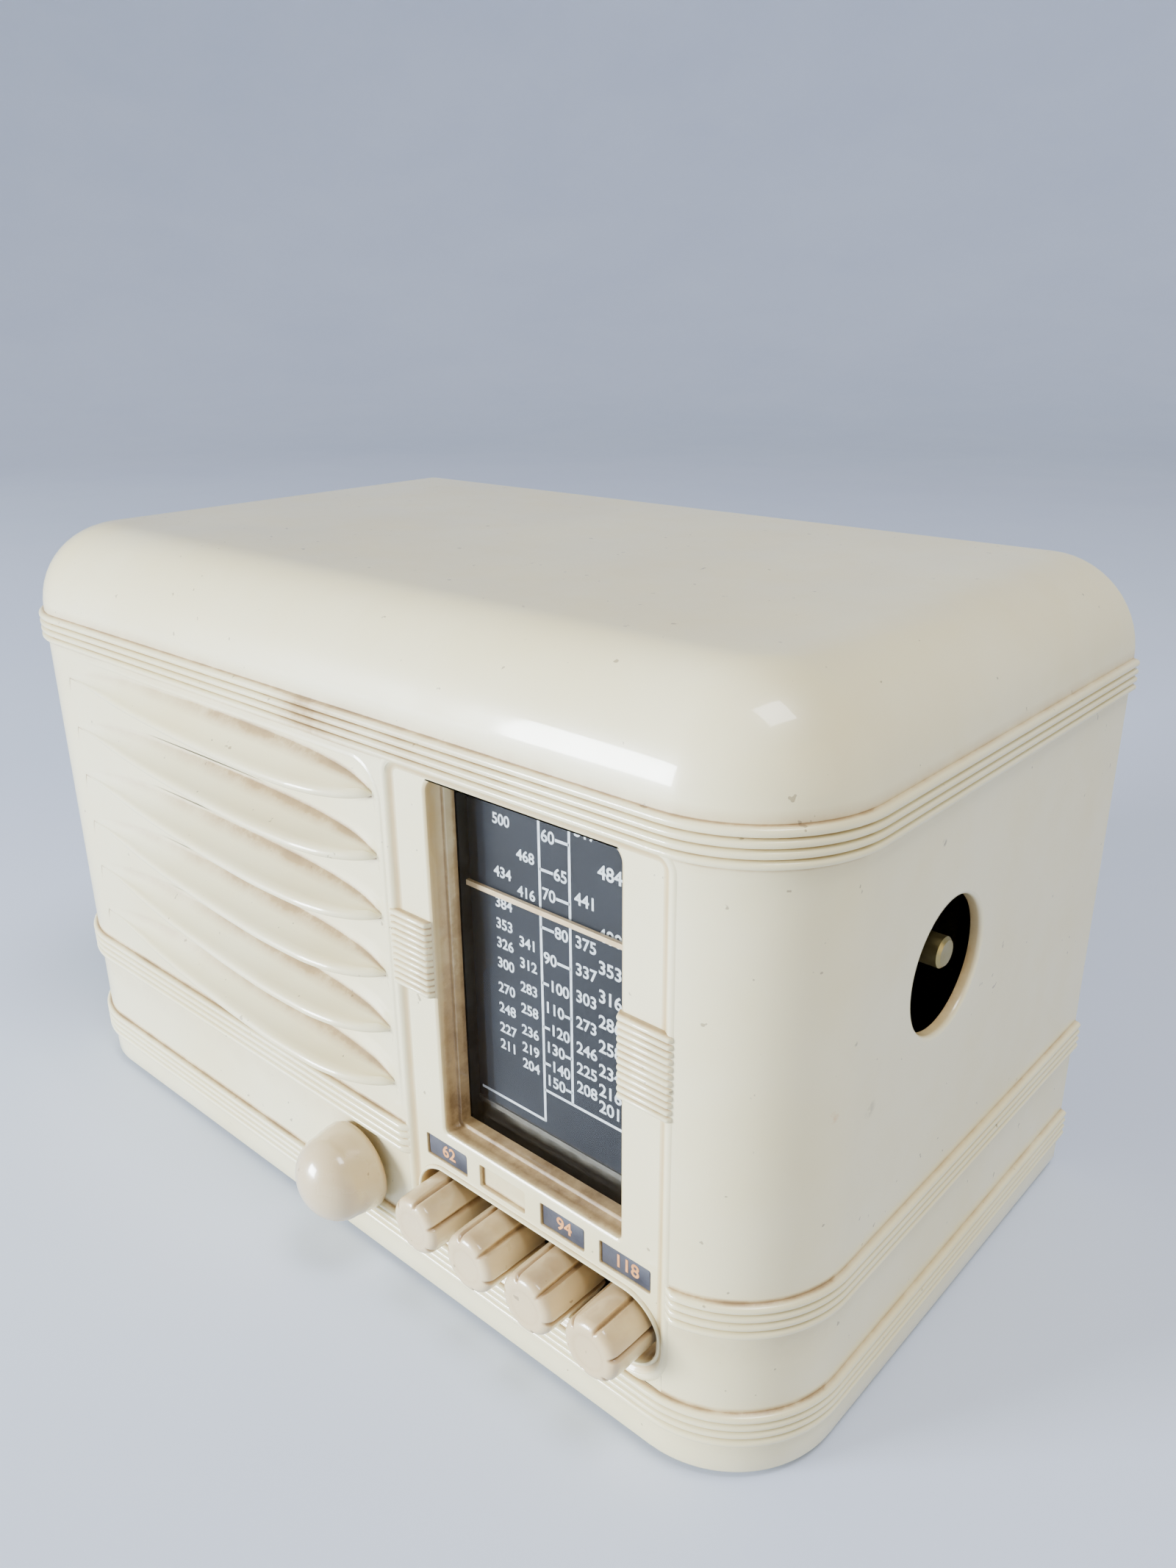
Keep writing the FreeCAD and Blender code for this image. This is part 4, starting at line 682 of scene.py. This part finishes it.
def window_frame(soup):
    """The stepped sides of the window: dirt gathered on its sill, painted warm shade along the reveal, and
    darker marks on the deeper steps.
    """
    face = STRIP_DEPTH
    # Columns: grow, y, darkening, painted warm shade.
    stations = ((0.8, face, 0.0, 0.1), (0.4, face + 0.1, 0.0, 0.6), (0.1, face + 0.35, 0.03, 0.9),
                (0.0, face + 0.9, 0.06, 1.0), (0.0, 3.0, 0.06, 0.85), (0.0, 4.7, 0.12, 0.5),
                (-0.15, 4.9, 0.5, 0.3), (-0.8, 4.95, 0.3, 0.1), (-0.95, 5.1, 0.15, 0.1),
                (-1.0, 6.4, 0.25, 0.1), (-1.0, 7.55, 0.8, 0.1))
    rings = []
    for grow, y, dirt_and_shade, warm_shade in stations:
        loop = window_outline(grow)
        sill = np.array([float(smooth(47.2, 45.6, z)) for x, z in loop])
        corner = np.array([math.exp(-((x - 168.0) ** 2 + (z - 45.5) ** 2) / 5.0) for x, z in loop])
        lain = np.clip(dirt_and_shade + float(smooth(1.0, 2.6, y)) * (0.95 * sill + 0.3 * corner), 0, 1)
        rings.append(soup.add([(x, y, z) for x, z in loop], lain, warm_shade * (1 - 0.75 * sill)))
    soup.rings(rings, flip=True)


def front_strip():
    """The recessed strip with the window, the label recesses and the button slot."""
    soup = Soup()
    strip_border(soup)
    face = STRIP_DEPTH
    recesses = [label_outline(*sides) for sides in RECESSES]
    holes = [window_outline(0.8), slot_outline(0.85)] + [recess(0.3) for recess in recesses]
    soup.panel(strip_outline(1.9), holes, lambda a, b: (a, face, b))
    window_frame(soup)
    # The slot's walls take painted shade, darker and warmer towards the back.
    soup.sweep(slot_outline, ((0.85, face, 0.55, 0.0), (0.75, 0.6, 0.2, 0.0), (0.55, 0.3, 0.0, 0.0),
                              (0.25, 0.22, 0.0, 0.0), (0.03, 0.4, 0.0, 0.0), (0.0, 0.8, 0.2, 0.3),
                              (0.0, 3.0, 0.9, 0.8), (0.0, 9.8, 1.0, 0.9)))
    # The label recesses darken towards their floors.
    for recess in recesses:
        soup.sweep(recess, ((0.3, face, 0.05, 0.0), (0.1, face + 0.06, 0.2, 0.0),
                            (0.0, face + 0.25, 0.5, 0.0), (0.0, face + 1.05, 0.8, 0.0),
                            (-0.4, face + 1.1, 0.45, 0.0)))
        soup.faces.append(tuple(soup.add([(x, face + 1.1, z) for x, z in recess(-0.4)], 0.2)))
    soup.piece("front_strip", IVORY, "cabinet", "ivory_plastic")


def clasp(name, left, right):
    """A reeded motif beside the window."""
    low, count, pitch = 78.0, 12, 1.45
    base, groove, top = STRIP_DEPTH + 0.3, 0.25, -0.75
    profile = [(low, base, 0.4)]
    for k in range(count):
        for u in (0.0, 0.12, 0.3, 0.5, 0.7, 0.88):
            t = abs(2 * u - 1)
            y = groove + (top - groove) * (1 - t**2.2) ** 0.7
            profile.append((low + (k + u) * pitch, y, 0.85 * max(0, (t - 0.6) / 0.4)))
    profile += [(low + count * pitch, groove, 0.8), (low + count * pitch, base, 0.4)]
    edge = ((0.0, 1.0), (0.12, 0.55), (0.4, 0.15), (0.8, 0.0))
    stations = [(left + d, back) for d, back in edge] + [(right - d, back) for d, back in edge[::-1]]
    soup = Soup()
    lines = [soup.add([(x, y + back * (base - y), z) for z, y, g in profile], [g for z, y, g in profile])
             for x, back in stations]
    soup.rings(lines, closed=False)
    soup.piece(name, IVORY, "cabinet", "ivory_plastic")


def inner_wall():
    """The inside of the moulding, seen through the louvres and the side hole."""
    soup = Soup()
    left, right, low, back = WALL, WIDTH - WALL, 1.2, DEPTH - 2.0
    radius, spring = LID - WALL, HEIGHT - LID
    section = [(left, low), (left, spring)]
    section += [(left + radius - radius * math.cos(a), spring + radius * math.sin(a))
                for a in np.linspace(0.15, math.pi / 2, 8)]
    section += [(right - radius + radius * math.sin(a), spring + radius * math.cos(a))
                for a in np.linspace(0, math.pi / 2, 9)]
    section += [(right, low)]
    far = soup.add([(x, back, z) for x, z in section], 0.3)
    near = soup.add([(x, CORNER, z) for x, z in section], 0.3)
    for i in range(len(section)):
        j = (i + 1) % len(section)
        if i != len(section) - 2:  # the right side is the panel below
            soup.faces.append((far[i], far[j], near[j], near[i]))
    hole = [(HOLE_Y + 21.9 * math.cos(a), HOLE_Z + 21.9 * math.sin(a)) for a in round_angles(48)]
    soup.panel([(CORNER, low), (back, low), (back, spring), (CORNER, spring)], [hole],
               lambda a, b: (right, a, b), flip=True, grime=0.3)
    soup.piece("inner_wall", IVORY, "cabinet", "ivory_plastic")


# ---------------------------------------------------------------- dial, labels


def flat_text(text, size, x, z, y, depth, material, name):
    """Printed figures as a thin mesh that faces the front."""
    font = bpy.data.curves.new(name + "_font", "FONT")
    font.body, font.size = text, size / 1000
    font.align_x = font.align_y = "CENTER"
    font.offset = size * 0.00002  # a little bolder
    font.extrude = depth / 2000
    temp = bpy.data.objects.new(name + "_temp", font)
    bpy.context.scene.collection.objects.link(temp)
    mesh = bpy.data.meshes.new_from_object(temp.evaluated_get(bpy.context.evaluated_depsgraph_get()))
    bpy.data.objects.remove(temp)
    mesh.transform(Matrix.Translation(Vector(at(x, y, z))) @ Matrix.Rotation(math.radians(90), 4, "X"))
    mesh.name = name
    mesh.materials.clear()
    mesh.materials.append(material)
    thing = bpy.data.objects.new(name, mesh)
    bpy.context.scene.collection.objects.link(thing)
    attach(thing, "cabinet")
    return thing


def join(name, things):
    """Puts several small pieces that ride on one body into one."""
    bpy.ops.object.select_all(action="DESELECT")
    for thing in things:
        thing.select_set(True)
    bpy.context.view_layer.objects.active = things[0]
    bpy.ops.object.join()
    things[0].name = name


def printed_line(soup, x0, z0, x1, z1, y, width=0.62):
    """A straight line of the dial's print."""
    start, end = np.array([x0, z0]), np.array([x1, z1])
    along = end - start
    half = np.array([-along[1], along[0]]) / np.hypot(*along) * width / 2
    corners = [start - half, end - half, end + half, start + half]
    soup.faces.append(tuple(soup.add([(p[0], y, p[1]) for p in corners])))


LABELS = ((167.75, 5.9, "62"), (201.35, 5.45, "94"), (217.45, 5.9, "118"))  # middle x, half width, number
LABEL_LOW, LABEL_HIGH, LABEL_Z = 37.1, 42.1, 39.6
LABEL_BACK, LABEL_EDGE, LABEL_FACE, NUMBER_FACE = 1.95, 1.42, 1.33, 1.3  # y of the card and its number


def labels():
    """Three dark cards in the recesses, with numbers in place of call letters."""
    soup = Soup()
    for x, half, text in LABELS:
        outline, inset = (rounded(x - half, LABEL_LOW, x + half, LABEL_HIGH, (0.25,) * 4, grow, 3)
                          for grow in (0, -0.15))
        back, edge = (soup.add([(a, y, b) for a, b in outline]) for y in (LABEL_BACK, LABEL_EDGE))
        face = soup.add([(a, LABEL_FACE, b) for a, b in inset])
        soup.rings([back, edge, face])
        soup.faces.append(tuple(face))
    soup.piece("label_cards", SLATE, "cabinet", "label_slate", replaces=["label_tabs"])
    join("label_numbers", [
        flat_text(text, 4.1, x + 0.3, LABEL_Z, NUMBER_FACE, 0.05, NUMERAL, f"label_number_{i}")
        for i, (x, half, text) in enumerate(LABELS)])


# Station marks on the dial, printed as wavelengths in metres: (middle x, figure size, tens of kilocycles).
MARK_COLUMNS = (
    (177.7, 3.2, (60, 69, 78, 85, 92, 100, 111, 121, 132, 142)),
    (184.1, 3.2, (57, 64, 72, 88, 96, 106, 116, 127, 137, 147)),
    (199.4, 3.6, (58, 68, 80, 89, 99, 110, 122, 133, 144)),
    (205.4, 3.9, (62, 75, 85, 95, 105, 116, 128, 139, 149)),
    (211.6, 3.6, (65, 82, 100, 120, 140)),
)
LEFT_LINE, RIGHT_LINE, LINES_TOP = 187.8, 195.5, 130.6  # the ladder's uprights
SCALE_TENS = (60, 65, 70, 80, 90, 100, 110, 120, 130, 140, 150)
RUNG_WIDTH = 0.6
METRES_BY_TENS = 29979  # the wavelength in metres, times the frequency in tens of kilocycles


def dial_level(tens):
    """The height where a frequency sits: the condenser's plates spread the scale out at the low end."""
    return 85.2 - 55.0 * math.log(tens / 100) + 0.036 * max(70 - tens, 0) ** 2


def dial():
    """The printing on the scale: columns of stations on each side of the frequency ladder."""
    low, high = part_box("dial_scale")
    y = (low.y - ORIGIN[1]) * 1000 - 0.03
    scale_left, scale_right = (low.x - ORIGIN[0]) * 1000, (high.x - ORIGIN[0]) * 1000
    soup = Soup()
    printed_line(soup, LEFT_LINE, 52.4, LEFT_LINE, LINES_TOP, y)
    printed_line(soup, RIGHT_LINE, 60.3, RIGHT_LINE, LINES_TOP, y)
    printed_line(soup, scale_left + 0.9, 52.6, LEFT_LINE, 52.6, y)
    printed_line(soup, LEFT_LINE, 60.2, scale_right - 0.7, 60.2, y)
    printed_line(soup, scale_right - 1.0, 50.8, scale_right - 1.0, 60.2, y)
    figures = [(x, dial_level(tens), str(round(METRES_BY_TENS / tens)), size)
               for x, size, row in MARK_COLUMNS for tens in row]
    for tens in SCALE_TENS:
        z = dial_level(tens)
        half = 1.75 if tens < 100 else 2.6  # of the figure's width
        if tens == 65 or tens % 20 == 0 and tens > 60:
            printed_line(soup, LEFT_LINE, z, RIGHT_LINE - 0.7 - 2 * half, z, y, RUNG_WIDTH)
            figures.append((RIGHT_LINE - 0.55 - half, z, str(tens), 3.5))
        else:
            printed_line(soup, LEFT_LINE + 0.7 + 2 * half, z, RIGHT_LINE, z, y, RUNG_WIDTH)
            figures.append((LEFT_LINE + 0.55 + half, z, str(tens), 3.5))
    soup.piece("scale_lines", PRINT, "cabinet", "dial_black")
    join("scale_figures", [flat_text(text, size, x, z, y, 0.02, PRINT, f"mark_{i}")
                           for i, (x, z, text, size) in enumerate(figures)])


# ---------------------------------------------------------------- buttons, knob, springs

BUTTON_TURNS = (0.4, 0.85, 0.9, 0.25)  # how far each button has turned on its plunger, in radians
FLUTES, FLUTE_DEPTH, FLUTE_HALF_WIDTH = 6, 0.85, 0.65
BUTTON_EDGE, BUTTON_DISH = 1.9, 0.12  # the edge's radius, and how far the face lies behind the box


def button(index):
    """A fluted push-button with a rounded edge and a faint ring on its face."""
    name = f"push_button_{index}"
    cx, cz, y_front, y_back, radius = extent(*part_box(name))
    radius -= 0.02
    angles = round_angles(180)
    wedge = 2 * math.pi / FLUTES
    away = np.abs(((angles - BUTTON_TURNS[index - 1]) / wedge + 0.5) % 1 - 0.5) * wedge * radius
    flute = np.clip(1 - away / FLUTE_HALF_WIDTH, 0, 1) ** 0.8
    soup = Soup()

    def ring(y, shrink, share, dirt_and_shade=0.0):
        r = radius - shrink - FLUTE_DEPTH * flute * share
        points = [(cx + a * math.cos(t), y, cz + a * math.sin(t)) for a, t in zip(r, angles)]
        return soup.add(points, np.clip(flute * 1.2 * share + dirt_and_shade, 0, 1))

    # The back end, inside the slot, takes painted shade, and the flutes take grime and painted shade.
    rings = [ring(y_back, 0.1, 1.0, 0.3), ring(y_back - 2, 0.0, 1.0, 0.2), ring(y_front + 5, 0.08, 1.0),
             ring(y_front + 2.1, 0.2, 1.0)]
    for a in np.radians(np.linspace(12, 90, 8)):
        forward, outward = math.sin(a), math.cos(a)
        rings.append(ring(y_front + BUTTON_EDGE * (1 - forward) + BUTTON_DISH,
                          0.2 + BUTTON_EDGE * (1 - outward), max(0.0, outward) * 0.95 + 0.03))
    flat_radius = radius - 0.2 - BUTTON_EDGE
    for r in np.linspace(flat_radius, 0.4, 9)[1:]:
        y = y_front + BUTTON_DISH + 0.10 * (1 - (r / flat_radius) ** 2)
        points = [(cx + r * math.cos(a), y, cz + r * math.sin(a)) for a in angles]
        rings.append(soup.add(points, 0.16 * math.exp(-((r - 3.6) / 0.5) ** 2)))
    soup.rings(rings)
    soup.caps(rings)
    soup.piece(f"button_cap_{index}", IVORY_BUTTON, f"button_{index}", "ivory_plastic", replaces=[name],
               sharp=50)


def knob():
    """The volume knob: a slightly waisted body under an elliptical dome."""
    cx, cz, y_front, y_back, radius = extent(*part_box("volume_knob"))
    widest, dome_start, dome_radius = 10.8, 6.6, 10.1
    dome = y_back - y_front - dome_start
    body = curve_through((0.0, 0.8, 2.2, 4.2, dome_start), (10.5, widest, 10.74, 10.5, dome_radius))
    sections = [(d, body(d)) for d in (0.0, 0.3, 0.8, 1.5, 2.2, 3.0, 3.8, 4.7, 5.7)]
    sections += [(dome_start + dome * math.sin(a), dome_radius * math.cos(a))
                 for a in np.linspace(0, 0.4985 * math.pi, 22)]
    soup, rings = Soup(), []
    for d, r in sections:
        r *= radius / widest
        points = [(cx + r * math.cos(a), y_back - d, cz + r * math.sin(a)) for a in round_angles(128)]
        # The knob's base, where it meets the cabinet, takes a ring of painted shade.
        rings.append(soup.add(points, 0.5 * max(0.0, 1 - d / 1.3)))
    soup.rings(rings)
    soup.caps(rings)
    soup.piece("volume_cap", IVORY_KNOB, "volume", "ivory_plastic", replaces=["volume_knob"], sharp=60)


def spring(index):
    """A coil spring behind a button, as a wire wound round the plunger."""
    node = f"return_spring_{index}"
    low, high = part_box(node)
    cx, cz, y0, y1, outside = extent(low, high)
    wire, coils, steps = 0.32, 7, 140
    radius = outside - wire
    back = np.array([0, 1.0, 0])
    soup, rings = Soup(), []
    for t in np.linspace(0, 1, steps + 1):
        a = 2 * math.pi * coils * t
        outward = np.array([math.cos(a), 0, math.sin(a)])
        centre = np.array([cx, y0 + wire + (y1 - y0 - 2 * wire) * t, cz]) + radius * outward
        rings.append(soup.add([centre + wire * (math.cos(b) * outward + math.sin(b) * back)
                               for b in round_angles(8)]))
    soup.rings(rings)
    soup.caps(rings)
    thing = soup.piece(f"coil_{index}", STEEL, "cabinet", "plated_steel", replaces=[node])
    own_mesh(thing)


# ---------------------------------------------------------------- build

cabinet()
panel_edge()
front_strip()
clasp("reeding_left", 155.5, 167.2)
clasp("reeding_right", 216.2, 228.6)
inner_wall()
labels()
dial()
for number in range(1, 5):
    button(number)
    spring(number)
knob()

FINISH = {
    "feet": RUBBER, "dial_window": WINDOW, "dial_scale": DIAL, "dial_frame": PLATE, "dial_lamp": BULB,
    "dial_pointer": NEEDLE, "pulley_top": DARK, "pulley_bottom": DARK, "dial_cord": CORD, "dial_drum": DARK,
    "tuning_shaft": SHAFT, "condenser_rotor": ALUMINIUM, "condenser_stator": ALUMINIUM,
    "condenser_frame": STEEL, "tuner_frame": PLATE, "treadle": STEEL, "volume_shaft": STEEL,
    "volume_pot": GREY, "volume_nut": STEEL, "speaker_baffle": BOARD, "speaker_basket": GREY,
    "speaker_cone": PAPER, "speaker_magnet": IRON, "output_transformer": IRON, "chassis_pan": PLATE,
    "tube_sockets": BAKELITE, "if_can_1": ALUMINIUM, "if_can_2": ALUMINIUM, "filter_capacitor": ALUMINIUM,
    "chassis_screws": STEEL, "chassis_cushions": RUBBER, "small_screws": STEEL, "back_cover": BOARD,
    "cord_grommet": RUBBER, "loop_aerial": CORD,
}


def finish_for(name):
    """The material of a CAD node that is carried over, or None for one that a piece replaces."""
    if name.endswith("_tube_base"):
        return BAKELITE
    if name.endswith("_tube_bulb"):
        return BULB
    return STEEL if name.startswith("plunger_") else FINISH.get(name)


for name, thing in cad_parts.items():
    chosen = finish_for(name)
    if chosen is None:
        continue
    if not thing.data.materials:
        thing.data.materials.append(chosen)
    for entry in thing.material_slots:
        entry.material = chosen

# ---------------------------------------------------------------- floor, light, camera: in metres


def studio_floor():
    """A floor that turns up into a wall all round, so that its far edge is never seen."""
    flat, curve, spokes = 1.8, 2.6, 64  # radius of the flat part, radius of the upward curve
    section = [(0.6, 0.0), (flat, 0.0)]
    section += [(flat + curve * math.sin(a), curve * (1 - math.cos(a))) for a in np.linspace(0, 1.5, 16)[1:]]
    ground = float(CAD_LOW.z)
    points = [(r * math.cos(a), r * math.sin(a), ground + z)
              for r, z in section for a in round_angles(spokes)]
    faces = [tuple(range(spokes))]
    for ring in range(len(section) - 1):
        for i in range(spokes):
            a, b = ring * spokes + i, ring * spokes + (i + 1) % spokes
            faces.append((a, a + spokes, b + spokes, b))
    mesh = bpy.data.meshes.new("floor")
    mesh.from_pydata(points, [], faces)
    mesh.polygons.foreach_set("use_smooth", np.ones(len(mesh.polygons), bool))
    mesh.materials.append(plain("pale_floor", colour(208, 219, 242), colour(202, 213, 238), 0.6, 3.0, 0.03))
    floor = bpy.data.objects.new("floor", mesh)
    bpy.context.scene.collection.objects.link(floor)


def studio_world():
    """A soft, slightly warm light from all round."""
    world = bpy.data.worlds.new("studio")
    bpy.context.scene.world = world
    world.use_nodes = True
    background = world.node_tree.nodes["Background"]
    background.inputs["Color"].default_value = (1.0, 0.975, 0.93, 1.0)
    background.inputs["Strength"].default_value = 0.54


def area(name, place, target, size, power, tint):
    """A square lamp at a place, turned to a target."""
    light = bpy.data.lights.new(name, "AREA")
    light.size, light.energy, light.color = size, power, tint
    thing = bpy.data.objects.new(name, light)
    bpy.context.scene.collection.objects.link(thing)
    thing.location = place
    thing.rotation_mode = "QUATERNION"
    thing.rotation_quaternion = (Vector(target) - Vector(place)).to_track_quat("-Z", "Y")


def photo_camera():
    """The camera at the photograph's angle, solved from the cabinet's edges as a box in perspective."""
    yaw, pitch, roll = math.radians(41.91), math.radians(21.376), math.radians(-0.5)
    place = (0.2075, -0.19635, 0.2091)
    forward = Vector((-math.sin(yaw) * math.cos(pitch), math.cos(yaw) * math.cos(pitch), -math.sin(pitch)))
    level = Vector((math.cos(yaw), math.sin(yaw), 0))
    upward = level.cross(forward)
    right_axis = level * math.cos(roll) + upward * math.sin(roll)
    up_axis = upward * math.cos(roll) - level * math.sin(roll)
    data = bpy.data.cameras.new("camera")
    data.lens, data.sensor_width = 27.73, 36.0
    data.clip_start, data.clip_end = 0.01, 50.0
    camera = bpy.data.objects.new("camera", data)
    bpy.context.scene.collection.objects.link(camera)
    turn = Matrix((right_axis, up_axis, -forward)).transposed().to_4x4()
    camera.matrix_world = Matrix.Translation(place) @ turn
    bpy.context.scene.camera = camera


studio_floor()
studio_world()
area("key", (-1.15, -1.85, 0.33), (0, 0, 0.06), 0.7, 172.0, (0.86, 0.93, 1.0))
area("fill", (1.25, -0.25, 0.5), (0, 0, 0.06), 0.9, 4.2, (1.0, 0.82, 0.42))
area("window", (0.46, -0.1, 1.25), (0.05, 0, 0.1), 0.4, 11.0, (0.98, 0.99, 1.0))
photo_camera()
